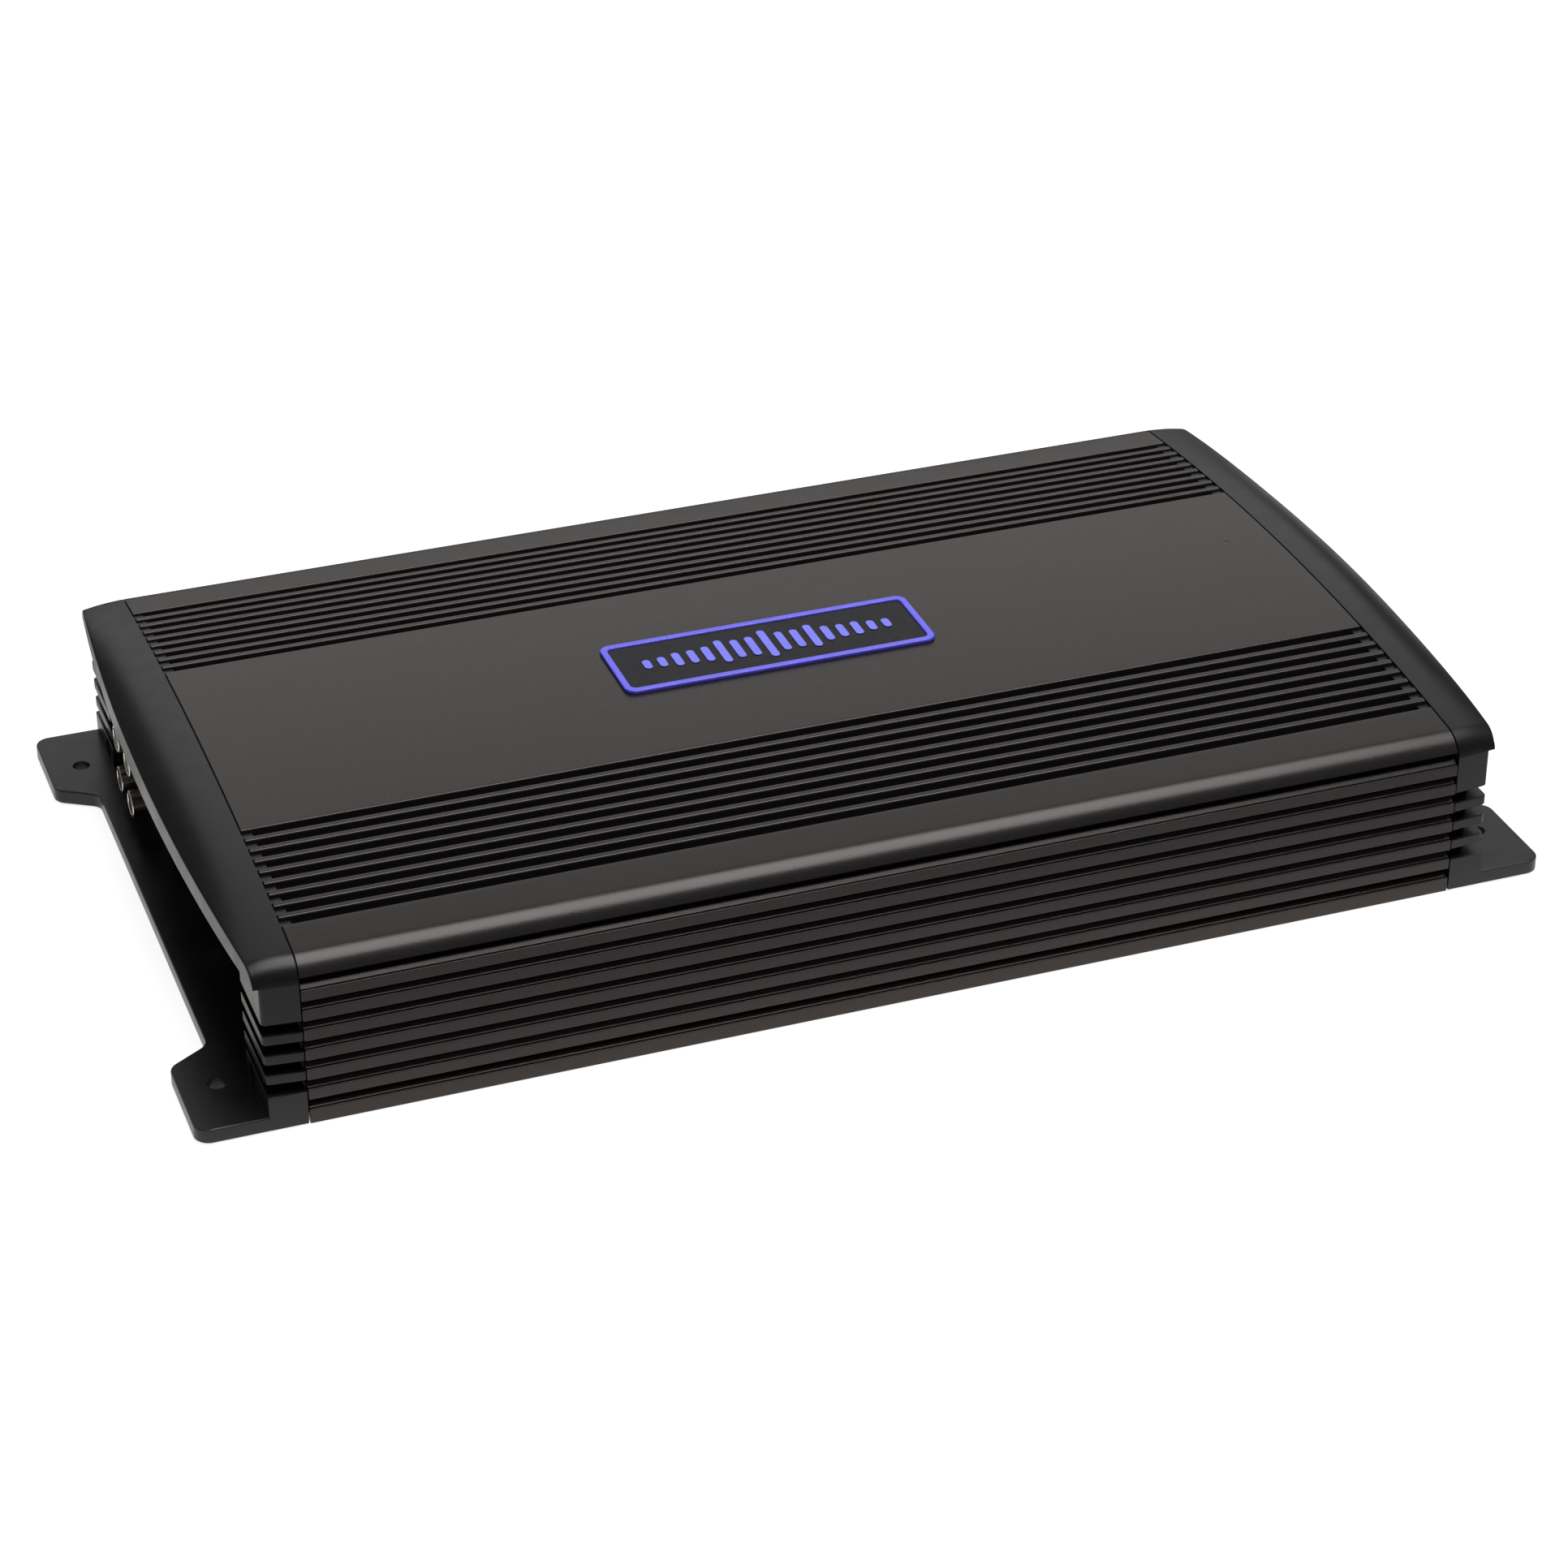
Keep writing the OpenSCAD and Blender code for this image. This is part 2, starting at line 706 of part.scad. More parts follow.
// A fluted knob with a pointer groove and its own shaft
module knob(k) {
    color([0.12, 0.12, 0.13]) at_left() translate([0, knob_y(k), knob_z]) {
        difference() {
            rod_x(knob_back, knob_front, 0, 0, knob_r);
            for (i = [0 : 19]) rotate([i * 18, 0, 0])
                rod_x(knob_back + 2, knob_front + over, 0, knob_r + 0.25, 0.6, small_fn);
            block([knob_front - 0.6, -0.4, 0.8], [knob_front + over, 0.4, knob_r]);
        }
        rod_x(panel_out - 6, knob_back + over, 0, 0, shaft_r, small_fn);
    }
}
module knob_level() {
    knob(0);
}
module knob_low_pass() {
    knob(1);
}
module knob_subsonic() {
    knob(2);
}
module knob_bass_boost() {
    knob(3);
}
module pot_bodies() {
    color([0.2, 0.3, 0.25]) at_left() for (k = [0 : knob_n - 1]) translate([0, knob_y(k)]) difference() {
        union() {
            block([159, -5, knob_z - 5], [sink_end - 0.4, 5, knob_z + 5]);
            rod_x(sink_end - 1, panel_out + 1.8, 0, knob_z, bushing_r);
            for (d = [-2.5, 0, 2.5]) block([159, d - 0.4, board_top], [159.8, d + 0.4, knob_z - 4]);
        }
        rod_x(panel_out - 6.2, panel_out + 3, 0, knob_z, shaft_r + run_gap, small_fn);
    }
}
module switch_bodies() {
    color([0.6, 0.6, 0.62]) at_left() for (y = switch_ys) translate([0, y, 0]) difference() {
        block([163, -6, board_top], [sink_end - 0.4, 6, switch_z + 3]);
        block([168, -3.6, switch_z - 1.7], [sink_end, 3.6, switch_z + 1.7]);
    }
}
module switch_lever(y) {
    y0 = y - switch_travel / 2;
    color([0.9, 0.9, 0.9]) at_left() {
        translate([panel_out, y0, switch_z]) {
            block([-4, -1.3, -1.3], [3.4, 1.3, 1.3]);
            for (d = [-1.1, 0, 1.1]) block([3.2, d - 0.2, -1.3], [3.7, d + 0.2, 1.3]);
        }
    }
}
module switch_phase() {
    switch_lever(switch_ys[0]);
}
module switch_input() {
    switch_lever(switch_ys[1]);
}
module remote_jack() {
    color([0.07, 0.07, 0.07]) at_left() translate([0, jack_y, board_top]) difference() {
        block([157, -jack_w / 2, 0], [panel_out + 0.8, jack_w / 2, jack_w]);
        block([161, -4.85, 2.6], [panel_out + 2, 4.85, 9.4]);
        block([163, -2, 9], [panel_out + 2, 2, 11.4]);
    }
}
module remote_contacts() {
    color("goldenrod") at_left() translate([0, jack_y, board_top]) for (d = span(6, 1.27))
        block([161.5, d - 0.25, 2.6], [panel_out - 1, d + 0.25, 3.1]);
}
module protect_led() {
    color("red") at_left() {
        rod_x(166, panel_out + 0.6, jack_y, knob_z, 1.5, small_fn);
        translate([panel_out + 0.6, jack_y, knob_z]) sphere(r = 1.5, $fn = small_fn);
        for (d = [-0.8, 0.8]) translate([166, jack_y + d])
            block([0, -0.25, board_top + jack_w], [0.5, 0.25, knob_z]);
    }
}

// ---- Power end ----------------------------------------------------------------

function speaker_y(k) = speaker_y0 - k * speaker_pitch;
function power_y(k) = power_y0 - k * power_pitch;
function fuse_y(k) = fuse_y0 - k * fuse_pitch;
speaker_low_y = speaker_y(speaker_n - 1) - speaker_pitch / 2 - 0.8;
speaker_high_y = speaker_y(0) + speaker_pitch / 2 + 0.8;
power_low_y = power_y(power_n - 1) - power_pitch / 2 - 0.8;
power_high_y = power_y(0) + power_pitch / 2 + 0.8;
fuse_low_y = fuse_y(fuse_n - 1) - 6;
fuse_high_y = fuse_y(0) + 6;
block_low = board_top;
block_high = 34;
module block_cut(y0, y1) {
    block([sink_end - over, y0 - gap, block_low - gap], [panel_out + over, y1 + gap, block_high + gap]);
}
module power_panel() {
    color([0.1, 0.1, 0.1]) difference() {
        panel_blank();
        block_cut(speaker_low_y, speaker_high_y);
        block_cut(power_low_y, power_high_y);
        block_cut(fuse_low_y, fuse_high_y);
    }
}
// Barrier block: a body behind the panel, and ribs between its poles
module barrier_block(n, y_of, pitch, bore_r, rib_reach) {
    y_first = y_of[0] + pitch / 2;
    y_last = y_of[n - 1] - pitch / 2;
    difference() {
        union() {
            block([159, y_last - 0.8, block_low], [block_face, y_first + 0.8, block_high]);
            for (k = [0 : n]) translate([0, y_first - k * pitch, 0])
                block([block_face - 1, -0.8, block_low], [block_face + rib_reach, 0.8, block_high]);
        }
        for (y = y_of) rod_x(164, block_face + over, y, terminal_z, bore_r + run_gap, small_fn);
    }
}
speaker_ys = [for (k = [0 : speaker_n - 1]) speaker_y(k)];
power_ys = [for (k = [0 : power_n - 1]) power_y(k)];
module speaker_block() {
    color([0.08, 0.08, 0.08]) barrier_block(speaker_n, speaker_ys, speaker_pitch, 1.9, 8);
}
module power_block() {
    color([0.08, 0.08, 0.08]) barrier_block(power_n, power_ys, power_pitch, 2.4, 10);
}
contact_t = 1;
module contact_plate(y, w, bore_r) {
    difference() {
        translate([block_face, y]) block([0, -w / 2, block_low + 2], [contact_t, w / 2, block_high - 3]);
        rod_x(block_face - over, block_face + 2, y, terminal_z, bore_r + run_gap, small_fn);
    }
}
module speaker_contacts() {
    color("silver") for (y = speaker_ys) contact_plate(y, speaker_pitch - 2.4, 1.9);
}
module power_contacts() {
    color("silver") for (y = power_ys) contact_plate(y, power_pitch - 2.6, 2.4);
}
// Terminal screw: thread, washer and cross-slotted head, resting on the contact plate
module terminal_screw(y, shank_r, head_r) {
    x0 = block_face + contact_t + 0.02;
    color("silver") difference() {
        union() {
            rod_x(x0 - 9, x0 + over, y, terminal_z, shank_r, small_fn);
            rod_x(x0, x0 + 0.8, y, terminal_z, head_r + 0.5);
            rod_x(x0 + 0.8, x0 + 3.2, y, terminal_z, head_r);
        }
        translate([x0 + 3.2, y, terminal_z]) rotate([0, 90, 0]) cross_slot(head_r * 1.3, 1.4);
    }
}
module speaker_screw_1() {
    terminal_screw(speaker_y(0), 1.9, 3.5);
}
module speaker_screw_2() {
    terminal_screw(speaker_y(1), 1.9, 3.5);
}
module speaker_screw_3() {
    terminal_screw(speaker_y(2), 1.9, 3.5);
}
module speaker_screw_4() {
    terminal_screw(speaker_y(3), 1.9, 3.5);
}
module power_screw_battery() {
    terminal_screw(power_y(0), 2.4, 4.6);
}
module power_screw_remote() {
    terminal_screw(power_y(1), 2.4, 4.6);
}
module power_screw_ground() {
    terminal_screw(power_y(2), 2.4, 4.6);
}
// Blade fuse sizes: body across the blades, its thickness, and one blade
fuse_w = 19.1;
fuse_t = 5.1;
blade_w = 5.1;
blade_t = 0.7;
blade_len = 7;
blade_z = 6.2;
module fuse_holder() {
    color([0.08, 0.08, 0.08]) difference() {
        block([159, fuse_low_y, block_low], [block_face, fuse_high_y, block_high]);
        for (k = [0 : fuse_n - 1], s = [-1, 1]) translate([0, fuse_y(k), fuse_z + s * blade_z])
            block([fuse_back - blade_len - 1, -blade_t / 2 - gap, -blade_w / 2 - gap],
                [block_face + over, blade_t / 2 + gap, blade_w / 2 + gap]);
    }
}
module fuse_body(k) {
    color([0.85, 0.55, 0.1]) translate([fuse_back, fuse_y(k), fuse_z]) difference() {
        union() {
            block([0, -fuse_t / 2 + 0.7, -fuse_w / 2 + 1],
                [fuse_reach - 3, fuse_t / 2 - 0.7, fuse_w / 2 - 1]);
            block([fuse_reach - 3.2, -fuse_t / 2, -fuse_w / 2], [fuse_reach, fuse_t / 2, fuse_w / 2]);
            for (s = [-1, 1])
                block([0, -fuse_t / 2, s * 6.6 - 2.4], [fuse_reach - 3, fuse_t / 2, s * 6.6 + 2.4]);
        }
        for (s = [-1, 1]) translate([fuse_reach - 0.8, 0, s * 7])
            block([0, -1.2, -1.2], [2, 1.2, 1.2]);
    }
}
module fuse_blades(k) {
    color("silver") for (s = [-1, 1]) translate([fuse_back, fuse_y(k), fuse_z + s * blade_z])
        block([-blade_len, -blade_t / 2, -blade_w / 2], [0, blade_t / 2, blade_w / 2]);
}
module fuse_body_1() {
    fuse_body(0);
}
module fuse_body_2() {
    fuse_body(1);
}
module fuse_body_3() {
    fuse_body(2);
}
module fuse_blades_1() {
    fuse_blades(0);
}
module fuse_blades_2() {
    fuse_blades(1);
}
module fuse_blades_3() {
    fuse_blades(2);
}

// ---- Inside the body --------------------------------------------------------

module circuit_board() {
    color([0.05, 0.3, 0.15]) difference() {
        block([-board_half_l, -board_half_w, board_low], [board_half_l, board_half_w, board_top]);
        board_places() rod_z(0, 0, board_low - over, board_top + over, thread_hole_r, small_fn);
    }
}
module board_places() {
    both_sides() for (x = board_screw_x) translate([x, board_screw_y, 0]) children();
}
module standoffs() {
    color("silver") board_places() translate([0, 0, plate_t]) difference() {
        cylinder(r = 3, h = board_low - plate_t, $fn = 6);
        translate([0, 0, -over]) cylinder(r = thread_hole_r, h = board_low, $fn = small_fn);
    }
}
module board_screws() {
    color("dimgray") board_places() difference() {
        union() {
            translate([0, 0, board_top]) cylinder(r = 2.7, h = 1.8, $fn = small_fn);
            translate([0, 0, 2]) cylinder(r = thread_r, h = board_top - 1.5, $fn = small_fn);
        }
        translate([0, 0, board_top + 1.8]) cross_slot(3, 1.1);
    }
}
module toroid_section(r0, r1, z0, z1, r) {
    translate([(r0 + r1) / 2, (z0 + z1) / 2]) rounded_rect(r1 - r0, z1 - z0, r);
}
module toroid_places() {
    for (x = toroid_x) translate([x, 0, 0]) children();
}
module transformer_cores() {
    color([0.25, 0.25, 0.27]) toroid_places()
        rotate_extrude($fn = round_fn) toroid_section(14, 21, 13, 28, 0.5);
}
module transformer_windings() {
    color([0.75, 0.4, 0.2]) toroid_places() rotate_extrude($fn = round_fn) difference() {
        toroid_section(9.5, 25, board_top, 32, 3);
        toroid_section(14, 21, 13, 28, 0.5);
    }
}
module output_inductors() {
    color([0.7, 0.35, 0.2]) for (x = [-40, -84]) translate([x, 0, 0])
        rotate_extrude($fn = round_fn) toroid_section(7, 17, board_top, 24, 3);
}
module supply_capacitors() {
    color([0.1, 0.12, 0.2]) {
        for (x = [-16, 8], y = [-44, -20, 20, 44]) rod_z(x, y, board_top, 41, 9);
        for (x = [60, 84, 108, 132], s = [-1, 1]) rod_z(x, s * 50, board_top, 36, 8);
    }
}
// Power transistors stand against both side walls, legs bent in to the board
transistor_xs = span(transistor_n, transistor_pitch);
case_in = wall_in - pad_t - case_t;
module transistors() {
    color([0.12, 0.12, 0.12]) both_sides() for (x = transistor_xs) translate([x, 0, 0]) {
        block([-7.8, case_in, 14], [7.8, case_in + case_t, 34]);
        for (d = [-5.4, 0, 5.4]) {
            block([d - 0.6, 86, 12.4], [d + 0.6, case_in + 2, 13]);
            block([d - 0.6, case_in + 1.4, 12.4], [d + 0.6, case_in + 2, 14.5]);
            block([d - 0.6, 86, board_top], [d + 0.6, 86.6, 13]);
        }
    }
}
module transistor_clamps() {
    color("silver") both_sides() for (x = clamp_x) translate([x, 0, 0]) difference() {
        block([-56, case_in - 2, clamp_z - 4], [56, case_in, clamp_z + 4]);
        for (d = [-transistor_pitch / 2, transistor_pitch / 2])
            rod_y(d, case_in - 3, case_in + 1, clamp_z, thread_hole_r);
    }
}
module clamp_screws() {
    color("dimgray") both_sides() for (x = clamp_x, d = [-transistor_pitch / 2, transistor_pitch / 2])
        translate([x + d, case_in - 2, clamp_z]) rotate([-90, 0, 0]) difference() {
            union() {
                translate([0, 0, -1.9]) cylinder(r = 2.7, h = 1.9, $fn = small_fn);
                translate([0, 0, -over]) cylinder(r = thread_r, h = 10.2, $fn = small_fn);
            }
            translate([0, 0, -1.9]) mirror([0, 0, 1]) cross_slot(3, 1.1);
        }
}
module insulator_pads() {
    color([0.75, 0.75, 0.7]) both_sides() difference() {
        block([-140, wall_in - pad_t, 13.2], [140, wall_in, 35]);
        for (x = clamp_x, d = [-transistor_pitch / 2, transistor_pitch / 2])
            rod_y(x + d, wall_in - 2, wall_in + 2, clamp_z, thread_hole_r);
    }
}

heatsink();
end_cap_left();
end_cap_right();
bottom_plate();
bottom_screws();
cap_screws_upper();
cap_screws_lower();
badge_frame();
badge_plate();
badge_bars();
light_pipe();
power_led();
control_panel();
phono_housing();
phono_shells();
phono_inserts_white();
phono_inserts_red();
phono_contacts();
knob_level();
knob_low_pass();
knob_subsonic();
knob_bass_boost();
pot_bodies();
switch_bodies();
switch_phase();
switch_input();
remote_jack();
remote_contacts();
protect_led();
power_panel();
power_block();
power_contacts();
power_screw_battery();
power_screw_remote();
power_screw_ground();
speaker_block();
speaker_contacts();
speaker_screw_1();
speaker_screw_2();
speaker_screw_3();
speaker_screw_4();
fuse_holder();
fuse_body_1();
fuse_body_2();
fuse_body_3();
fuse_blades_1();
fuse_blades_2();
fuse_blades_3();
circuit_board();
standoffs();
board_screws();
transformer_cores();
transformer_windings();
output_inductors();
supply_capacitors();
transistors();
transistor_clamps();
clamp_screws();
insulator_pads();
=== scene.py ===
"""Looks of the car amplifier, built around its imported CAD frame."""

import json
import math

import bmesh
import bpy
from mathutils import Matrix, Vector
from mathutils.geometry import tessellate_polygon


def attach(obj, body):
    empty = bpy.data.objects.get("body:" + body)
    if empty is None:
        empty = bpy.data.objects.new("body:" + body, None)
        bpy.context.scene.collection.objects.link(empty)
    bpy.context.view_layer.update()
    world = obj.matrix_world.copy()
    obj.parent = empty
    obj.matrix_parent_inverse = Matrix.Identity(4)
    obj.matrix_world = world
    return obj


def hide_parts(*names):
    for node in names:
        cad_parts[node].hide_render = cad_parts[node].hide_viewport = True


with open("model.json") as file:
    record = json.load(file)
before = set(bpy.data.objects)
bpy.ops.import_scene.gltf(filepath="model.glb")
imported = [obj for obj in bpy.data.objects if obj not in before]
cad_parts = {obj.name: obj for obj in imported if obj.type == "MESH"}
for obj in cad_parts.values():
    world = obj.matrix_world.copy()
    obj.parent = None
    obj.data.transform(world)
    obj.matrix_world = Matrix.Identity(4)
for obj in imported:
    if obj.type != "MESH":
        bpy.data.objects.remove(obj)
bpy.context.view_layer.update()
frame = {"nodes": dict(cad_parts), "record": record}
MM = 0.001

# ---- Camera ---------------------------------------------------------------

LENS_MM, SENSOR_MM = 94.77, 36.0
CAMERA_AT = Vector((-0.3594, -1.0125, 0.6444))
YAW, ELEVATION, ROLL = (math.radians(a) for a in (-19.79, 30.59, -0.21))


def add_camera():
    level = math.cos(ELEVATION)
    back = Vector((math.sin(YAW) * level, -math.cos(YAW) * level, math.sin(ELEVATION)))
    right = Vector((math.cos(YAW), math.sin(YAW), 0))
    up = back.cross(right)
    turned_right = math.cos(ROLL) * right + math.sin(ROLL) * up
    turned_up = -math.sin(ROLL) * right + math.cos(ROLL) * up
    axes = Matrix((turned_right, turned_up, back)).transposed()
    data = bpy.data.cameras.new("camera")
    data.lens, data.sensor_width = LENS_MM, SENSOR_MM
    camera = bpy.data.objects.new("camera", data)
    camera.matrix_world = Matrix.Translation(CAMERA_AT) @ axes.to_4x4()
    bpy.context.scene.collection.objects.link(camera)
    bpy.context.scene.camera = camera


add_camera()

# ---- Materials --------------------------------------------------------------

# The stretch of a noise's values that is spread over a colour or a roughness
NOISE_LOW, NOISE_HIGH = 0.3, 0.7


class Finish:
    """A procedural material: a principled shader varied by noise in object space, in metres."""

    def __init__(self, name, color, rough, metal=0.0, **sockets):
        self.mat = bpy.data.materials.new(name)
        self.mat.use_nodes = True
        self.tree = self.mat.node_tree
        self.tree.nodes.clear()
        output = self.tree.nodes.new("ShaderNodeOutputMaterial")
        self.shader = self.tree.nodes.new("ShaderNodeBsdfPrincipled")
        self.link(self.shader.outputs[0], output.inputs["Surface"])
        self.coord = self.tree.nodes.new("ShaderNodeTexCoord").outputs["Object"]
        self.color, self.rough = color, rough
        self.shader.inputs["Base Color"].default_value = (*color, 1)
        self.shader.inputs["Roughness"].default_value = rough
        self.shader.inputs["Metallic"].default_value = metal
        for key, value in sockets.items():
            self.shader.inputs[key.replace("_", " ")].default_value = value

    def link(self, a, b):
        self.tree.links.new(a, b)

    def noise(self, per_m, detail, stretch=(1, 1, 1), seed=0.0):
        mapping = self.tree.nodes.new("ShaderNodeMapping")
        mapping.inputs["Scale"].default_value = stretch
        mapping.inputs["Location"].default_value = (seed, seed * 0.7, seed * 1.3)
        texture = self.tree.nodes.new("ShaderNodeTexNoise")
        texture.inputs["Scale"].default_value = per_m
        texture.inputs["Detail"].default_value = detail
        self.link(self.coord, mapping.inputs["Vector"])
        self.link(mapping.outputs[0], texture.inputs["Vector"])
        return texture.outputs["Fac"]

    def spread(self, fac, low, high):
        """Maps the middle stretch of a noise to values from low to high."""
        node = self.tree.nodes.new("ShaderNodeMapRange")
        node.inputs["From Min"].default_value = NOISE_LOW
        node.inputs["From Max"].default_value = NOISE_HIGH
        node.inputs["To Min"].default_value = low
        node.inputs["To Max"].default_value = high
        self.link(fac, node.inputs["Value"])
        return node.outputs["Result"]

    def vary_color(self, fac, darker, lighter):
        """Runs the colour between two multiples of the base colour."""
        ramp = self.tree.nodes.new("ShaderNodeValToRGB")
        dark, light = ramp.color_ramp.elements
        dark.position, light.position = NOISE_LOW, NOISE_HIGH
        dark.color = (*(c * darker for c in self.color), 1)
        light.color = (*(min(1, c * lighter) for c in self.color), 1)
        self.link(fac, ramp.inputs["Fac"])
        self.link(ramp.outputs["Color"], self.shader.inputs["Base Color"])
        return self

    def vary_rough(self, fac, by):
        """Runs the roughness from so much below its base value to so much above."""
        varied = self.spread(fac, self.rough - by, self.rough + by)
        self.link(varied, self.shader.inputs["Roughness"])
        return self

    def bump(self, fac, depth_m):
        node = self.tree.nodes.new("ShaderNodeBump")
        node.inputs["Distance"].default_value = depth_m
        node.inputs["Strength"].default_value = 1.0
        self.link(fac, node.inputs["Height"])
        self.link(node.outputs["Normal"], self.shader.inputs["Normal"])
        return self


def anodised(name, color, rough):
    """Blasted and anodised aluminium: a fine grain, drawn out a little along the extrusion."""
    warm = (1, 0.89, 0.875, 1)
    f = Finish(name, color, rough, metal=0.2, Specular_IOR_Level=0.5, Specular_Tint=warm)
    f.vary_color(f.noise(1400, 2, seed=3), 0.86, 1.16)
    f.vary_rough(f.noise(90, 3, stretch=(0.4, 1, 1)), 0.012)
    f.bump(f.noise(1900, 2, seed=2), 0.000024)
    return f.mat


def coated(name, color, rough):
    """Powder coat on metal."""
    f = Finish(name, color, rough, Specular_IOR_Level=0.4)
    f.vary_color(f.noise(60, 3), 0.92, 1.1)
    f.vary_rough(f.noise(140, 3, seed=3), 0.03)
    f.bump(f.noise(1500, 2, seed=1), 0.00002)
    return f.mat


def moulded(name, color, rough, grain=0.00001, **more):
    """Plastic with the faint grain of its mould."""
    f = Finish(name, color, rough, **more)
    f.vary_color(f.noise(120, 3), 0.93, 1.08)
    f.vary_rough(f.noise(300, 3, seed=4), 0.05)
    f.bump(f.noise(2600, 2, seed=5), grain)
    return f.mat


def plated(name, color, rough):
    """Bare or plated metal."""
    f = Finish(name, color, rough, metal=1.0)
    f.vary_color(f.noise(400, 3), 0.94, 1.04)
    f.vary_rough(f.noise(900, 3, seed=6), 0.03)
    f.bump(f.noise(2500, 2, seed=7), 0.000002)
    return f.mat


def wound(name, color, rough):
    """Enamelled wire: uneven metal under a clear coat."""
    f = Finish(name, color, rough, metal=0.8, Coat_Weight=0.4)
    f.vary_color(f.noise(500, 3), 0.75, 1.15)
    f.bump(f.noise(1400, 1, seed=8), 0.0002)
    return f.mat


# How each material is made, its colour and its roughness, then what else it needs
FINISHES = {
    "body_metal": (anodised, (0.024, 0.0218, 0.0206), 0.28),
    "cap_metal": (coated, (0.0086, 0.0081, 0.0085), 0.33),
    "plate_steel": (coated, (0.02, 0.02, 0.021), 0.5),
    "screw_steel": (plated, (0.10, 0.10, 0.105), 0.34),
    "badge_blue": (moulded, (0.135, 0.115, 0.82), 0.33, {"Coat_Weight": 0.3}),
    "badge_black": (moulded, (0.004, 0.004, 0.006), 0.3, {"grain": 0.000003, "Specular_IOR_Level": 0.18}),
    "badge_mark": (moulded, (0.20, 0.21, 0.90), 0.4),
    "lamp_lens": (moulded, (0.010, 0.011, 0.018), 0.2, {"grain": 0.000002}),
    "led_blue": (moulded, (0.1, 0.3, 0.9), 0.2, {"Transmission_Weight": 0.5}),
    "led_red": (moulded, (0.55, 0.02, 0.015), 0.18, {"Transmission_Weight": 0.5}),
    "black_plastic": (moulded, (0.017, 0.017, 0.018), 0.42),
    "white_plastic": (moulded, (0.78, 0.77, 0.73), 0.4),
    "red_plastic": (moulded, (0.14, 0.012, 0.008), 0.5),
    "nickel": (plated, (0.74, 0.72, 0.68), 0.2),
    "gold": (plated, (0.83, 0.58, 0.24), 0.25),
    "knob_plastic": (moulded, (0.022, 0.022, 0.024), 0.5),
    "pot_green": (moulded, (0.04, 0.09, 0.06), 0.5),
    "switch_steel": (plated, (0.6, 0.6, 0.6), 0.35),
    "fuse_amber": (moulded, (0.80, 0.30, 0.02), 0.15, {"Transmission_Weight": 0.55, "IOR": 1.5}),
    "board_green": (moulded, (0.012, 0.10, 0.04), 0.35, {"Coat_Weight": 0.3}),
    "core_grey": (moulded, (0.06, 0.06, 0.065), 0.6, {"grain": 0.00003}),
    "copper_wire": (wound, (0.6, 0.22, 0.08), 0.35),
    "can_sleeve": (moulded, (0.02, 0.03, 0.07), 0.3),
    "pad_grey": (moulded, (0.5, 0.5, 0.46), 0.7),
}
MATERIALS = {
    name: make(name, color, rough, **dict(*more))
    for name, (make, color, rough, *more) in FINISHES.items()
}
SLOT_OF = {part["node"]: part["material_slot"] for part in frame["record"]["subparts"]}
BODIES = frame["record"]["behaviour"]["bodies"]
BODY_OF = {node: body for body, nodes in BODIES.items() for node in nodes}
for node, thing in frame["nodes"].items():
    thing.data.materials.clear()
    thing.data.materials.append(MATERIALS[SLOT_OF[node]])

# ---- Mesh helpers -------------------------------------------------------------


def piece(name, mesh, node, *more_nodes):
    """Puts a mesh in the scene in place of one or more CAD nodes."""
    thing = bpy.data.objects.new(name, mesh)
    bpy.context.scene.collection.objects.link(thing)
    mesh.materials.clear()
    mesh.materials.append(MATERIALS[SLOT_OF[node]])
    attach(thing, BODY_OF[node])
    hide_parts(node, *more_nodes)
    return thing


def temp(mesh):
    """A passing object for the mesh, so that it can take modifiers."""
    thing = bpy.data.objects.new("temp", mesh)
    bpy.context.scene.collection.objects.link(thing)
    return thing


def baked(thing):
    """The object's mesh with its modifiers applied."""
    bpy.context.view_layer.update()
    seen = thing.evaluated_get(bpy.context.evaluated_depsgraph_get())
    return bpy.data.meshes.new_from_object(seen)


def smooth(mesh, angle):
    """Smooth shading that keeps flat faces flat and edges above the angle, in degrees, sharp."""
    mesh.polygons.foreach_set("use_smooth", [True] * len(mesh.polygons))
    mesh.set_sharp_from_angle(angle=math.radians(angle))
    helper = temp(mesh)
    weigh = helper.modifiers.new("weigh", "WEIGHTED_NORMAL")
    weigh.keep_sharp = True
    weigh.weight = 100
    done = baked(helper)
    bpy.data.objects.remove(helper)
    return done


def combine(base, others, operation):
    """Joins meshes to a base mesh, or cuts them from it, one after another."""
    thing = temp(base)
    tools = []
    for other in others:
        tool = temp(other)
        tools.append(tool)
        step = thing.modifiers.new("step", "BOOLEAN")
        step.operation = operation
        step.solver = "EXACT"
        step.object = tool
    done = baked(thing)
    for old in [thing, *tools]:
        bpy.data.objects.remove(old)
    return done


def from_bmesh(bm):
    bmesh.ops.recalc_face_normals(bm, faces=bm.faces)
    mesh = bpy.data.meshes.new("mesh")
    bm.to_mesh(mesh)
    bm.free()
    return mesh


def polar(u, v, r, angle):
    """The point at that angle on the circle of radius r around (u, v)."""
    return (u + r * math.cos(angle), v + r * math.sin(angle))


def circle(u, v, r, steps):
    return [polar(u, v, r, math.tau * i / steps) for i in range(steps)]


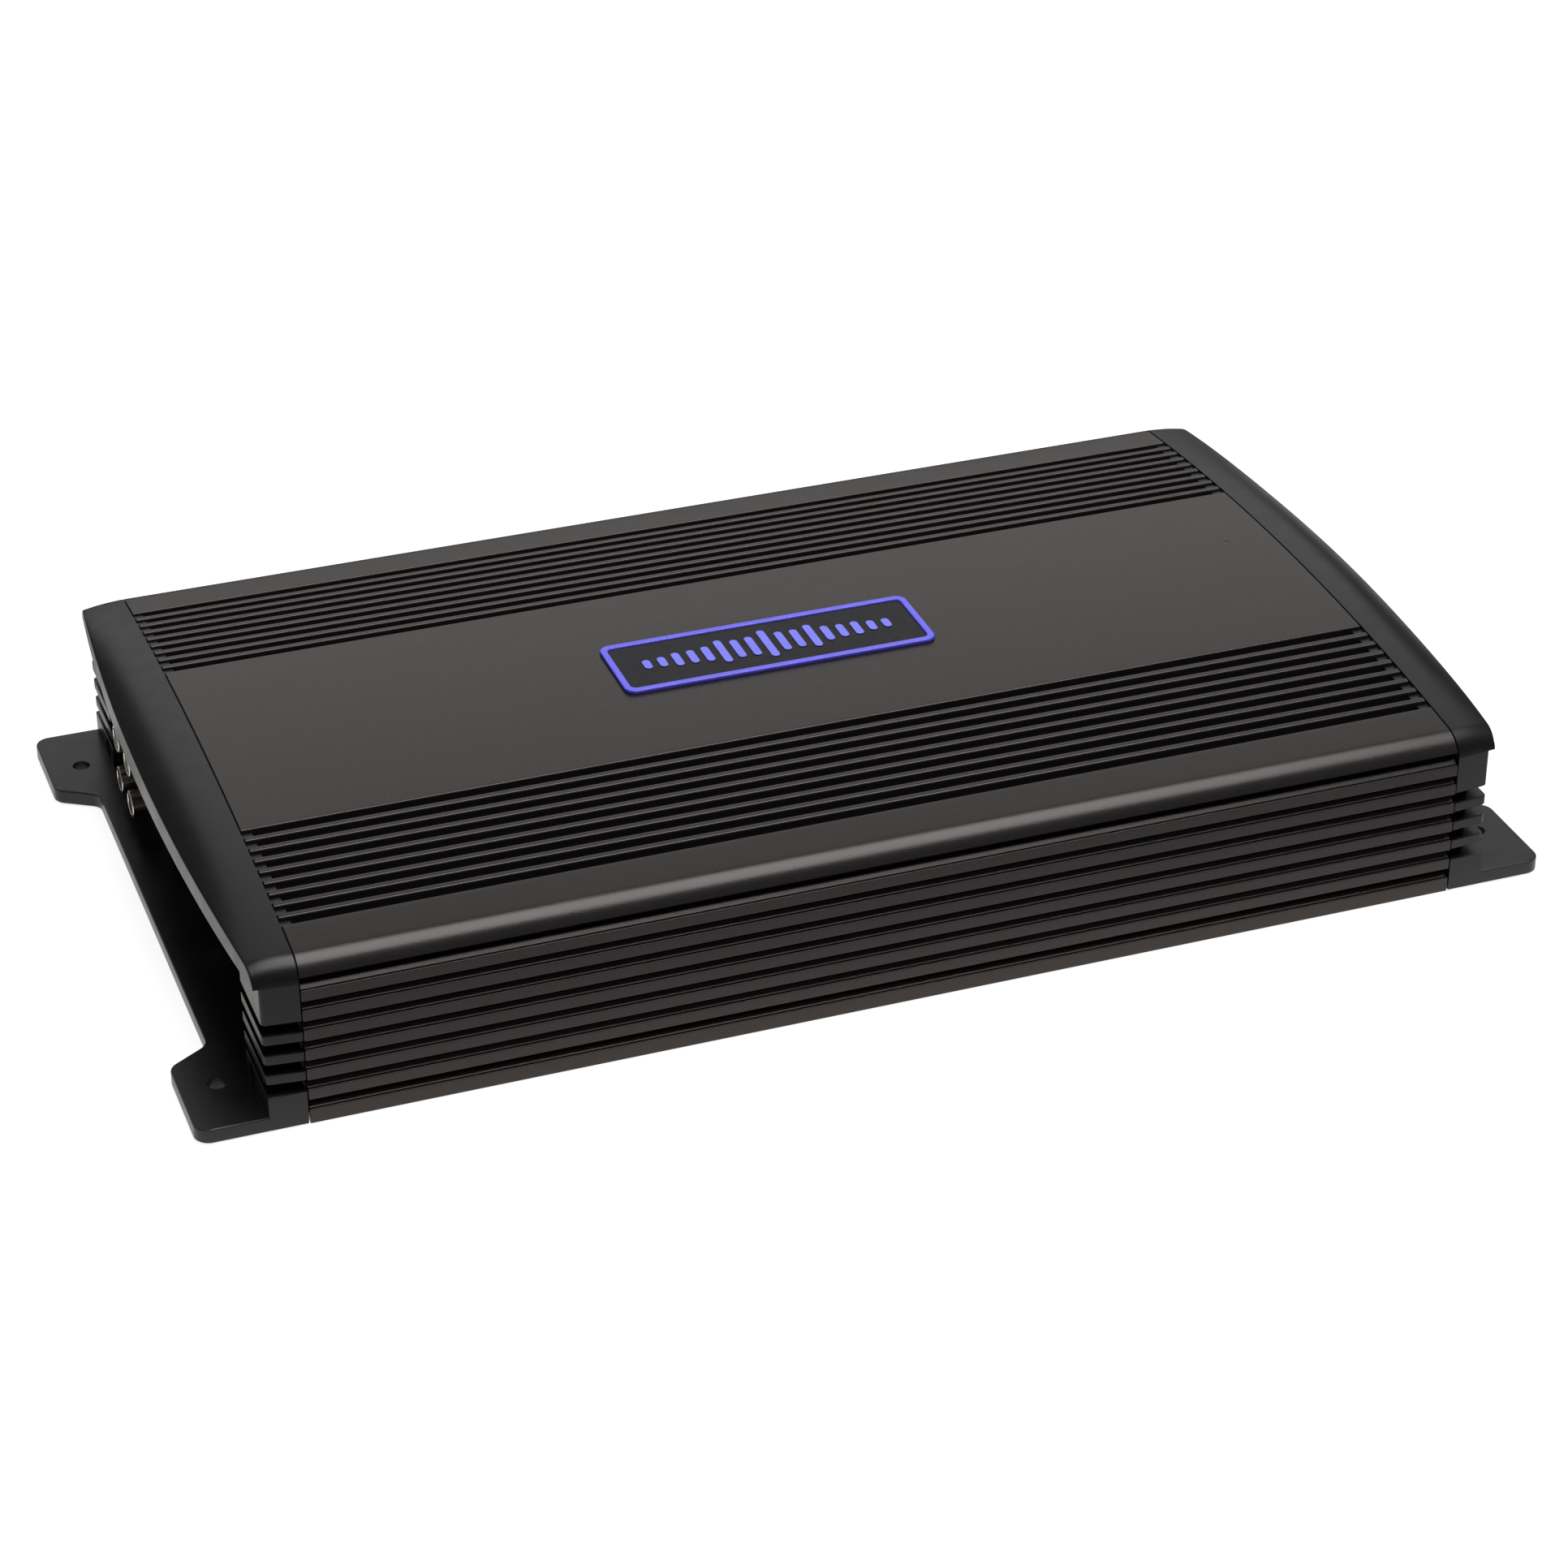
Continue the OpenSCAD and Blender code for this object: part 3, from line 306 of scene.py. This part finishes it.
def round_corners(corners, steps=3):
    """A closed outline from (u, v) or (u, v, radius) corners, each arc in that many steps."""
    outline = []
    count = len(corners)
    for i, corner in enumerate(corners):
        at = Vector(corner[:2])
        radius = corner[2] if len(corner) > 2 else 0
        if not radius:
            outline.append(at)
            continue
        before = Vector(corners[i - 1][:2]) - at
        after = Vector(corners[(i + 1) % count][:2]) - at
        half = before.angle(after) / 2
        reach = min(radius / math.tan(half), 0.45 * before.length, 0.45 * after.length)
        start = at + before.normalized() * reach
        end = at + after.normalized() * reach
        middle = (before.normalized() + after.normalized()).normalized()
        centre = at + middle * (reach / math.cos(half))
        a0, a1 = start - centre, end - centre
        turn = a0.angle_signed(a1)
        for k in range(steps + 1):
            outline.append(centre + a0 @ Matrix.Rotation(turn * k / steps, 2))
    return outline


def inset(outline, distance):
    """The outline moved inwards along its corner normals. It runs counterclockwise."""
    moved = []
    count = len(outline)
    for i, at in enumerate(outline):
        before = (at - outline[i - 1]).normalized()
        after = (outline[(i + 1) % count] - at).normalized()
        n0, n1 = Vector((-before.y, before.x)), Vector((-after.y, after.x))
        normal = (n0 + n1).normalized()
        moved.append(at + normal * distance / max(0.5, normal.dot(n0)))
    return moved


def signed_area(outline):
    return sum(a.x * b.y - b.x * a.y for a, b in zip(outline, outline[1:] + outline[:1])) / 2


def prism(outline, low, high, edge=0.0, place=None):
    """A prism in mm between two heights over the outline, with its end edges taken off.

    place maps (u, v, w) to (x, y, z), and without it the prism stands along z.
    """
    outline = [Vector(p) for p in outline]
    if signed_area(outline) < 0:
        outline.reverse()
    # Height of each ring of points, and how far it lies inside the outline
    rings = [(low, 0.0), (high, 0.0)]
    if edge:
        rings = [(low, edge), (low + edge, 0.0), (high - edge, 0.0)]
        rings += [(high - 0.3 * edge, 0.3 * edge), (high, edge)]
    bm = bmesh.new()
    layers = []
    for w, shrink in rings:
        flat = inset(outline, shrink) if shrink else outline
        points = [(p.x, p.y, w) for p in flat]
        if place:
            points = [place(*p) for p in points]
        layers.append([bm.verts.new([c * MM for c in p]) for p in points])
    count = len(outline)
    for a, b in zip(layers, layers[1:]):
        for i in range(count):
            j = (i + 1) % count
            bm.faces.new((a[i], a[j], b[j], b[i]))
    for layer, flip in ((layers[0], True), (layers[-1], False)):
        for tri in tessellate_polygon([[v.co for v in layer]]):
            try:
                bm.faces.new([layer[k] for k in (reversed(tri) if flip else tri)])
            except ValueError:
                # Two corners fell together, or the face is there already
                pass
    return from_bmesh(bm)


def along_x(y, z, x):
    return (x, y, z)


def rod(x0, x1, y, z, r):
    return prism(circle(y, z, r, 32), x0, x1, place=along_x)


def stud(x, y, z0, z1, r):
    return prism(circle(x, y, r, 40), z0, z1)


def box_mesh(low, high, edge=0.0):
    outline = [(low[0], low[1]), (high[0], low[1]), (high[0], high[1]), (low[0], high[1])]
    return prism(outline, low[2], high[2], edge)


def refined(node, width):
    """The CAD node's own shape with its sharp edges rounded to that width in mm."""
    bm = bmesh.new()
    bm.from_mesh(frame["nodes"][node].data)
    bmesh.ops.remove_doubles(bm, verts=bm.verts, dist=2e-6)
    bmesh.ops.dissolve_limit(
        bm, angle_limit=math.radians(0.15), verts=bm.verts, edges=bm.edges,
        use_dissolve_boundaries=False,
    )
    steep = math.radians(35)
    sharp = [e for e in bm.edges if len(e.link_faces) == 2 and e.calc_face_angle(0) > steep]
    bmesh.ops.bevel(
        bm, geom=sharp, offset=width * MM, segments=2, profile=0.55, affect="EDGES",
        clamp_overlap=True,
    )
    return piece(node + "_shell", smooth(from_bmesh(bm), 40), node)


# ---- Heatsink -------------------------------------------------------------------

# The crown is an arc over the whole width, and a shoulder's arc runs from it into each side
CROWN_H, CROWN_R, HALF_W = 57.0, 940.0, 112.0
SHOULDER_R, SHOULDER_FOOT = 8.0, 46.4
SHOULDER_Y = HALF_W - SHOULDER_R
SHOULDER_Z = CROWN_H - CROWN_R + math.sqrt((CROWN_R - SHOULDER_R) ** 2 - SHOULDER_Y**2)
TANGENT = math.acos(SHOULDER_Y / (CROWN_R - SHOULDER_R))
# Where the heatsink ends, and where the part of the cap that is seen begins
SINK_END, SEAM = 171.2, 171.6
# Bands of grooves on the roof
BAND_IN, GROOVE_W, RIDGE_W, GROOVES = 47.85, 3.1, 2.2, 9
GROOVE_D, GROOVE_FLOOR_R = 4.5, 0.35
BAND_EDGE_R, RIDGE_EDGE_R = 0.45, 0.55
BAND_OUT = BAND_IN + GROOVES * GROOVE_W + (GROOVES - 1) * RIDGE_W
# Fins on the sides, counted from the lowest
FIN_TOP, FIN_PITCH, FIN_T, FIN_D, FINS = 10.8, 6.3, 3.1, 4.0, 6
ROOT_R, FOOT_TOP = 0.4, 4.6
# Corners of a fin's top, in from its outer face and up from its top, with a radius where it
# has one: the slope at the wall, a fine groove, a rounded bead along the outer edge
FIN_BACK = [
    (2.2, 1.6, 0.8), (0.85, 0.45), (0.85, 0.1),
    (0.68, 0.1), (0.6, 0.28, 0.08), (0, 0.28, 0.45),
]
# The same for the foot rail, whose bead is level with its top
FOOT_BACK = [
    (1.9, 0.9, 0.5), (0.85, 0.1), (0.85, -0.2),
    (0.62, -0.2), (0.55, 0), (0, 0, 0.3),
]
# Inside of the section: rebate for the bottom plate, rail it is screwed to, wall, roof
REBATE_Y, REBATE_Z, RAIL_Y, RAIL_Z = 106.45, 1.5, 90, 11.5
WALL_Y, ROOF_T = 103, 8.5
# Screw channel under the roof, which takes the upper cap screws
CHANNEL_Y, CHANNEL_Z, CHANNEL_R = 80, 39.8, 4
# Badge pocket: half length, half width, corner radius and floor; then the hole over the lamp
POCKET_X, POCKET_Y, POCKET_R, POCKET_Z = 48.65, 14.8, 3.5, 56.6
LAMP_X, LAMP_Y, LAMP_R = 156, 13.8, 1.05
CORNERS = ((1, 1), (-1, 1), (-1, -1), (1, -1))


def crown(y, drop=0.0):
    """Height of the roof at y, or of a surface that lies so far below it."""
    return CROWN_H - CROWN_R + math.sqrt((CROWN_R - drop) ** 2 - y * y)


def grooved_band():
    """One band of grooves, from the middle panel outwards."""
    out = []
    for k in range(GROOVES):
        a = BAND_IN + k * (GROOVE_W + RIDGE_W)
        b = a + GROOVE_W
        if k == 0:
            out.append((a, crown(a), BAND_EDGE_R))
        out += [(y, crown(y, GROOVE_D), GROOVE_FLOOR_R) for y in (a, b)]
        if k == GROOVES - 1:
            out.append((b, crown(b), BAND_EDGE_R))
        else:
            out += [(y, crown(y), RIDGE_EDGE_R) for y in (b, b + RIDGE_W)]
    return out


def shoulder():
    """The crown outside the band, then the shoulder's arc down to its foot."""
    tangent_y = SHOULDER_Y + SHOULDER_R * math.cos(TANGENT)
    out = [(y, crown(y)) for y in (BAND_OUT + (tangent_y - BAND_OUT) * i / 6 for i in range(1, 6))]
    low = math.asin((SHOULDER_FOOT - SHOULDER_Z) / SHOULDER_R)
    for i in range(17):
        out.append(polar(SHOULDER_Y, SHOULDER_Z, SHOULDER_R, TANGENT + (low - TANGENT) * i / 16))
    return out


def finned_side():
    """The side from the shoulder's foot down: six fins, then the foot rail."""
    root = HALF_W - FIN_D
    out = [(root, SHOULDER_FOOT, 0.3)]
    for k in reversed(range(FINS)):
        top = FIN_TOP + k * FIN_PITCH
        out.append((root, top + FIN_BACK[0][1], ROOT_R))
        out += [(HALF_W - p[0], top + p[1], *p[2:]) for p in FIN_BACK]
        out += [(HALF_W, top - FIN_T, 0.22), (root, top - FIN_T, ROOT_R)]
    out.append((root, FOOT_TOP + FOOT_BACK[0][1], ROOT_R))
    out += [(HALF_W - p[0], FOOT_TOP + p[1], *p[2:]) for p in FOOT_BACK]
    return out + [(HALF_W, 0, 0.3)]


def inside():
    """The hollow of the section, from the underside round to the middle of the roof."""
    out = [(REBATE_Y, 0, 0.2), (REBATE_Y, REBATE_Z), (RAIL_Y, REBATE_Z, 0.3)]
    out += [(RAIL_Y, RAIL_Z, 0.5), (WALL_Y, RAIL_Z, 0.5)]
    far, near = CHANNEL_Y + CHANNEL_R, CHANNEL_Y - CHANNEL_R
    # The point between the wall and the channel keeps the underside of the roof curved
    out += [(WALL_Y, crown(WALL_Y, ROOF_T), 1.0), (93, crown(93, ROOF_T))]
    out += [(far, crown(far, ROOF_T), 0.8), (far, CHANNEL_Z)]
    under = (-math.pi * i / 12 for i in range(1, 12))
    out += [polar(CHANNEL_Y, CHANNEL_Z, CHANNEL_R, angle) for angle in under]
    out += [(near, CHANNEL_Z), (near, crown(near, ROOF_T), 0.8)]
    return out + [(y, crown(y, ROOF_T)) for y in (66, 55, 44, 33, 22, 11)]


def sink_half():
    """Half of the section, from the crown outwards, down to the underside and back inside."""
    panel = [(y, crown(y)) for y in (BAND_IN * i / 26 for i in range(26))]
    return panel + grooved_band() + shoulder() + finned_side() + inside()


def mirrored(half):
    """Closes a half outline that starts at the middle of the crown and ends under it."""
    other = [(-p[0], *p[1:]) for p in reversed(half) if abs(p[0]) > 1e-6]
    return half + other


def build_heatsink():
    outline = round_corners(mirrored(sink_half()))
    body = prism(outline, -SINK_END, SINK_END, edge=0.18, place=along_x)
    pocket = round_corners([(sx * POCKET_X, sy * POCKET_Y, POCKET_R) for sx, sy in CORNERS], 8)
    above = CROWN_H + 3
    lamp = prism(circle(LAMP_X, LAMP_Y, LAMP_R, 24), 40, above)
    body = combine(body, [prism(pocket, POCKET_Z, above), lamp], "DIFFERENCE")
    piece("heatsink_body", smooth(body, 35), "heatsink")


# ---- End caps ---------------------------------------------------------------------

# Hood: height of its lip, its thickness, its reach and the arc of its rim seen from above
LIP_Z, LIP_T, HOOD_REACH, BOW_R = 44.8, 2.6, 18.0, 1080.0
# Towards its rim the hood sinks by a share of its height over the lip. The share is smaller at
# the sides, and it grows above the level to its full value at the crown.
HOOD_DROP, HOOD_SIDE_DROP, HOOD_LEVEL, HOOD_POWER = 0.42, 0.15, 49.0, 2.6
# How fast the sides draw in, and how far below the crown the bay's ceiling lies
SIDE_TAPER, BAY_DROP = 0.105, 7.5
# Corner posts: their slabs repeat the fins, and the top one reaches up to the hood
POST_IN, POST_REACH, TOP_SLAB_Z, SLAB_EDGE = 86.5, 10.8, 32.9, 0.3
POST_OUT = SEAM + POST_REACH
POST_Y = SHOULDER_Y + math.sqrt(SHOULDER_R**2 - (LIP_Z - SHOULDER_Z) ** 2)
# Mounting ears, the strip between them and the mounting holes
EAR_X, EAR_Y, EAR_T, EAR_R = 202.4, 79.0, 4.5, 4.5
STRIP_X, STRIP_Y = SEAM + 18.6, 71.5
HOLE_X, HOLE_Y, HOLE_R = 191.8, 91, 2.65
# Cap screws: the upper ones go through lugs in front of the panel
PANEL_OUT = SINK_END + 1.5
LUG_Y, LUG_Z, LUG_T = 75, 35.3, 2.5
LOW_SCREW_Y, LOW_SCREW_Z, SCREW_R, HEAD_R, HEAD_DEPTH = 94, 7.4, 1.5, 2.85, 2.4
# How far the seam's floor lies below the surface, and the play of a tooth in its groove
SEAM_DEPTH, TOOTH_GAP = 1.2, 0.15


def rim_x(y, inwards=0.0):
    """Where the rim is at y, or a line that runs so far inside it."""
    return SEAM + HOOD_REACH - BOW_R + math.sqrt((BOW_R - inwards) ** 2 - y * y)


def hood_outline():
    """The hood's section at the seam, from one side's lip over the crown to the other's."""
    low = math.asin((LIP_Z - SHOULDER_Z) / SHOULDER_R)
    half = []
    for i in range(13):
        half.append(polar(SHOULDER_Y, SHOULDER_Z, SHOULDER_R, low + i / 12 * (TANGENT - low)))
    for i in range(1, 29):
        half.append(polar(0, CROWN_H - CROWN_R, CROWN_R, TANGENT + i / 28 * (math.pi / 2 - TANGENT)))
    return half + [(-y, z) for y, z in reversed(half[:-1])]


def hood_point(y, z, t):
    """Carries a point of the section from the seam, where t is 0, to the rim, where it is 1."""
    shrink = SIDE_TAPER * (rim_x(HALF_W) - SEAM) / HALF_W
    high = min(1, max(0, (z - HOOD_LEVEL) / (CROWN_H - HOOD_LEVEL)))
    share = HOOD_SIDE_DROP + (HOOD_DROP - HOOD_SIDE_DROP) * high**2 * (3 - 2 * high)
    sunk = z - share * (z - LIP_Z) * t**HOOD_POWER
    return (SEAM + t * (rim_x(y) - SEAM), y * (1 - shrink * t), sunk)


def hood_solid():
    """The hood filled down to its lip: skin, lip face with a rounded rim, flat underside."""
    outline = hood_outline()
    n = len(outline)
    bm = bmesh.new()
    rows = []
    for k in range(17):
        points = [hood_point(y, z, k / 16) for y, z in outline]
        rows.append([bm.verts.new([c * MM for c in point]) for point in points])
    rim = rows[-1]
    below = [bm.verts.new((v.co.x, v.co.y, LIP_Z * MM)) for v in rim[1:-1]]
    lip = [rim[0], *below, rim[-1]]
    for a, b in zip(rows, rows[1:]):
        for i in range(n - 1):
            bm.faces.new((a[i], b[i], b[i + 1], a[i + 1]))
    # At both ends the lip face comes to a point, so two of its corners are one
    for i in range(n - 1):
        corners = dict.fromkeys((rim[i], lip[i], lip[i + 1], rim[i + 1]))
        bm.faces.new(list(corners))
    bm.faces.new(rows[0])
    # Underside: the strip between the two side edges, then the bow of the lip
    for a, b in zip(rows, rows[1:]):
        bm.faces.new((a[0], a[-1], b[-1], b[0]))
    bm.faces.new(lip)
    rim_edges = [bm.edges.get((rim[i], rim[i + 1])) for i in range(3, n - 4)]
    bmesh.ops.recalc_face_normals(bm, faces=bm.faces)
    bmesh.ops.bevel(
        bm, geom=rim_edges, offset=0.25 * MM, segments=2, profile=0.5, affect="EDGES",
        clamp_overlap=False,
    )
    return from_bmesh(bm)


def bay_solid():
    """The space under the hood."""
    inner, wide = SINK_END - 0.5, 90
    section = [(-POST_IN, EAR_T), (POST_IN, EAR_T)]
    section += [(y, crown(y, BAY_DROP)) for y in (POST_IN * (1 - i / 16) for i in range(33))]
    bow = [(rim_x(y, LIP_T), y) for y in (-wide + 2 * wide * i / 40 for i in range(41))]
    tall = prism([(inner, -wide), *bow, (inner, wide)], 0, CROWN_H + 3)
    through = prism(section, inner, SEAM + HOOD_REACH, place=along_x)
    return combine(tall, [through], "INTERSECT")


def seam_ring():
    """The hidden step that fills the seam between the heatsink and the cap."""
    r = SHOULDER_R - SEAM_DEPTH
    low = math.asin((LIP_Z - SHOULDER_Z) / r)
    half = [(POST_Y - SEAM_DEPTH, LIP_Z)]
    half += [polar(SHOULDER_Y, SHOULDER_Z, r, low + (TANGENT - low) * i / 8) for i in range(9)]
    half += [(y, crown(y, SEAM_DEPTH)) for y in (90, 75, 60, 45, 30, 15, 0)]
    return prism(mirrored(half), SINK_END, SEAM + 1, place=along_x)


def teeth():
    """Blocks that fill the ends of the grooves."""
    blocks = []
    for side in (-1, 1):
        for k in range(GROOVES):
            y = BAND_IN + k * (GROOVE_W + RIDGE_W) + TOOTH_GAP
            top = crown(y + GROOVE_W / 2) - 0.9
            low = crown(y - TOOTH_GAP) - GROOVE_D + TOOTH_GAP
            y0, y1 = sorted((side * y, side * (y + GROOVE_W - 2 * TOOTH_GAP)))
            blocks.append(box_mesh((SINK_END - 3, y0, low), (SEAM + 1, y1, top), 0.2))
    return blocks


def post_outline(d, x0):
    """A slab of the corner post from x0 outwards, its other sides set back by d."""
    y0 = POST_Y - d
    x1 = POST_OUT - d
    y1 = y0 - SIDE_TAPER * (x1 - x0)
    return round_corners([(x0, POST_IN), (x1, POST_IN, 0.5), (x1, y1, 1.4), (x0, y0)], 4)


def foot_outline():
    """The lowest slab, which is square and flush with the ear's side."""
    corners = [(SEAM, POST_IN), (POST_OUT, POST_IN, 0.5), (POST_OUT, HALF_W, 0.6), (SEAM, HALF_W)]
    return round_corners(corners, 4)


def flipped(outline):
    return [Vector((p[0], -p[1])) for p in reversed(outline)]


def corner_post(side):
    """The blocks that one corner post is joined from, with its lug for the upper cap screw."""
    shape = flipped if side < 0 else list
    blocks = [prism(shape(post_outline(FIN_D, SINK_END)), 1, LIP_Z + 0.5)]
    for k in (1, 2, 3):
        top = FIN_TOP + k * FIN_PITCH
        blocks.append(prism(shape(post_outline(0, SEAM)), top - FIN_T, top, SLAB_EDGE))
    blocks.append(prism(shape(foot_outline()), 0.1, FIN_TOP, SLAB_EDGE))
    # The top slab tucks in just under the hood's own side
    tucked = shape(post_outline(0.12, SEAM))
    blocks.append(prism(tucked, TOP_SLAB_Z, LIP_Z + 0.3, SLAB_EDGE))
    y0, y1 = sorted((side * LUG_Y, side * (POST_IN + 1)))
    blocks.append(box_mesh((PANEL_OUT, y0, LUG_Z), (PANEL_OUT + LUG_T, y1, LIP_Z + 0.9)))
    return blocks


def ear_outline():
    """Both ears and the strip between them, seen from above."""
    # Next to the seam the edge lies under the foot of the post, then steps out to the side
    tucked_y = HALF_W - 0.5
    half = [(SEAM, tucked_y, 0), (POST_OUT - 0.7, tucked_y, 0), (POST_OUT - 0.4, HALF_W, 0)]
    half += [(EAR_X, HALF_W, EAR_R), (EAR_X, EAR_Y, EAR_R), (STRIP_X, STRIP_Y, EAR_R)]
    return round_corners(half + [(x, -y, r) for x, y, r in reversed(half)], 10)


def cap_holes():
    """Mounting holes, holes for the cap screws and room for the lower ones' heads."""
    cuts = []
    for side in (-1, 1):
        cuts.append(stud(HOLE_X, side * HOLE_Y, -1, EAR_T + 1, HOLE_R))
        cuts.append(rod(SINK_END - 1, PANEL_OUT + 3, side * CHANNEL_Y, CHANNEL_Z, SCREW_R))
        low_screw = (side * LOW_SCREW_Y, LOW_SCREW_Z)
        cuts.append(rod(SINK_END - 1, POST_OUT + 1, *low_screw, SCREW_R))
        cuts.append(rod(POST_OUT - HEAD_DEPTH, POST_OUT + 1, *low_screw, HEAD_R))
    return cuts


def cap_mesh():
    shell = combine(hood_solid(), [seam_ring()], "UNION")
    shell = combine(shell, [bay_solid()], "DIFFERENCE")
    blocks = [*corner_post(1), *corner_post(-1), prism(ear_outline(), 0, EAR_T, 0.45)]
    shell = combine(shell, blocks, "UNION")
    shell = combine(shell, cap_holes(), "DIFFERENCE")
    return combine(shell, teeth(), "UNION")


def build_caps():
    right = cap_mesh()
    left = right.copy()
    left.transform(Matrix.Scale(-1, 4, (1, 0, 0)))
    left.flip_normals()
    piece("cap_right", smooth(right, 35), "end_cap_right")
    piece("cap_left", smooth(left, 35), "end_cap_left")


build_heatsink()
build_caps()

# ---- Smaller parts: the CAD shapes with their edges rounded -------------------------

# Width of the rounding of each node's edges, in mm
EDGES = {
    "badge_frame": 0.45, "badge_plate": 0.2, "badge_bars": 0.1,
    "control_panel": 0.2, "power_panel": 0.2,
    "phono_housing": 0.3, "phono_shells": 0.3, "phono_inserts_white": 0.25,
    "phono_inserts_red": 0.25, "phono_contacts": 0.08,
    **{"knob_" + use: 0.25 for use in ("level", "low_pass", "subsonic", "bass_boost")},
    "switch_phase": 0.12, "switch_input": 0.12, "remote_jack": 0.25,
    "power_block": 0.25, "speaker_block": 0.25, "power_contacts": 0.15, "speaker_contacts": 0.15,
    **{"power_screw_" + pole: 0.3 for pole in ("battery", "remote", "ground")},
    **{"speaker_screw_%d" % pole: 0.25 for pole in (1, 2, 3, 4)},
    "fuse_holder": 0.3, **{"fuse_body_%d" % i: 0.35 for i in (1, 2, 3)},
    "cap_screws_upper": 0.3, "cap_screws_lower": 0.3, "bottom_plate": 0.2, "bottom_screws": 0.1,
}
for node, width in EDGES.items():
    refined(node, width)

# ---- Stage and light ------------------------------------------------------------------


# In metres: half the part's length and width, and how far from it the floor's ramp reaches
PART_X, PART_Y, RAMP_REACH = 0.2, 0.112, 0.6
# Painted pool of light: glow in the floor's emission, which the part sees in place of light the floor
# would throw back, at the part's edge, at shares of the reach, and at its end
FLOOR_NEAR = (0.82, 0.79, 0.74, 1)
FLOOR_BETWEEN = ((0.03, 0.45), (0.11, 0.1))
FLOOR_FAR = (0.04, 0.04, 0.04, 1)
# What the camera sees of the floor and beyond it, and the dim light from all round
FLOOR_SEEN, BACKDROP, AMBIENT = (0.84, 0.84, 0.84, 1), (0.92, 0.92, 0.92, 1), (0.06, 0.06, 0.062, 1)


def glow_on_floor(f):
    """Makes the floor evenly pale to the camera, and paints a pool of light into its emission for all
    other rays, which fades with distance from the part.
    """

    def math_node(operation, a, b=None):
        node = f.tree.nodes.new("ShaderNodeMath")
        node.operation = operation
        for socket, value in zip(node.inputs, (a, b)):
            if isinstance(value, (int, float)):
                socket.default_value = value
            elif value is not None:
                f.link(value, socket)
        return node.outputs[0]

    split = f.tree.nodes.new("ShaderNodeSeparateXYZ")
    f.link(f.coord, split.inputs[0])
    past_x = math_node("SUBTRACT", math_node("ABSOLUTE", split.outputs["X"]), PART_X)
    past_y = math_node("SUBTRACT", math_node("ABSOLUTE", split.outputs["Y"]), PART_Y)
    away = math_node("DIVIDE", math_node("MAXIMUM", past_x, past_y), RAMP_REACH)
    # Painted pool of light: a glow that fades away from the part, which the part sees but the camera
    # doesn't
    fade = f.tree.nodes.new("ShaderNodeValToRGB")
    ramp = fade.color_ramp
    ramp.elements[0].color = FLOOR_NEAR
    ramp.elements[1].color = FLOOR_FAR
    for at, level in FLOOR_BETWEEN:
        ramp.elements.new(at).color = (level, level * 0.97, level * 0.92, 1)
    f.link(away, fade.inputs["Fac"])
    path = f.tree.nodes.new("ShaderNodeLightPath")
    pick = f.tree.nodes.new("ShaderNodeMix")
    pick.data_type = "RGBA"
    f.link(path.outputs["Is Camera Ray"], pick.inputs["Factor"])
    f.link(fade.outputs["Color"], pick.inputs["A"])
    pick.inputs["B"].default_value = FLOOR_SEEN
    f.link(pick.outputs["Result"], f.shader.inputs["Emission Color"])
    f.shader.inputs["Emission Strength"].default_value = 1


def add_stage():
    """A floor that lies just under the part."""
    bm = bmesh.new()
    bmesh.ops.create_grid(bm, x_segments=1, y_segments=1, size=8)
    floor = bpy.data.objects.new("floor", from_bmesh(bm))
    floor.location.z = -0.0002
    bpy.context.scene.collection.objects.link(floor)
    f = Finish("floor", (0.5, 0.5, 0.5), 0.8)
    f.vary_color(f.noise(3, 2), 0.995, 1.005)
    glow_on_floor(f)
    floor.data.materials.append(f.mat)


def softbox(name, at, target, size, radiance, color=(1, 1, 1)):
    """A soft studio light, set by how bright its face is. The camera doesn't see it."""
    data = bpy.data.lights.new(name, "AREA")
    data.shape = "RECTANGLE"
    data.size, data.size_y = size
    data.energy = radiance * math.pi * size[0] * size[1]
    data.color = color
    light = bpy.data.objects.new(name, data)
    light.location = at
    light.rotation_euler = (Vector(target) - Vector(at)).to_track_quat("-Z", "Y").to_euler()
    light.visible_camera = False
    bpy.context.scene.collection.objects.link(light)


def add_light():
    """Two softboxes in a dim surround, in front of a pale backdrop."""
    world = bpy.data.worlds.new("world")
    world.use_nodes = True
    tree = world.node_tree
    background = tree.nodes["Background"]
    background.inputs["Color"].default_value = AMBIENT
    seen = tree.nodes.new("ShaderNodeBackground")
    seen.inputs["Color"].default_value = BACKDROP
    path = tree.nodes.new("ShaderNodeLightPath")
    pick = tree.nodes.new("ShaderNodeMixShader")
    tree.links.new(path.outputs["Is Camera Ray"], pick.inputs[0])
    tree.links.new(background.outputs[0], pick.inputs[1])
    tree.links.new(seen.outputs[0], pick.inputs[2])
    tree.links.new(pick.outputs[0], tree.nodes["World Output"].inputs["Surface"])
    bpy.context.scene.world = world
    softbox(
        "overhead", at=(0.3, -0.16, 1.6), target=(0.2, -0.16, 0), size=(1.3, 1.25),
        radiance=5.6, color=(0.965, 0.975, 1),
    )
    softbox("back", at=(0.52, 1.7, 1.05), target=(0.32, 0, 0.03), size=(2.1, 1.3), radiance=0.74)
    bpy.context.scene.view_settings.view_transform = "Standard"


add_stage()
add_light()
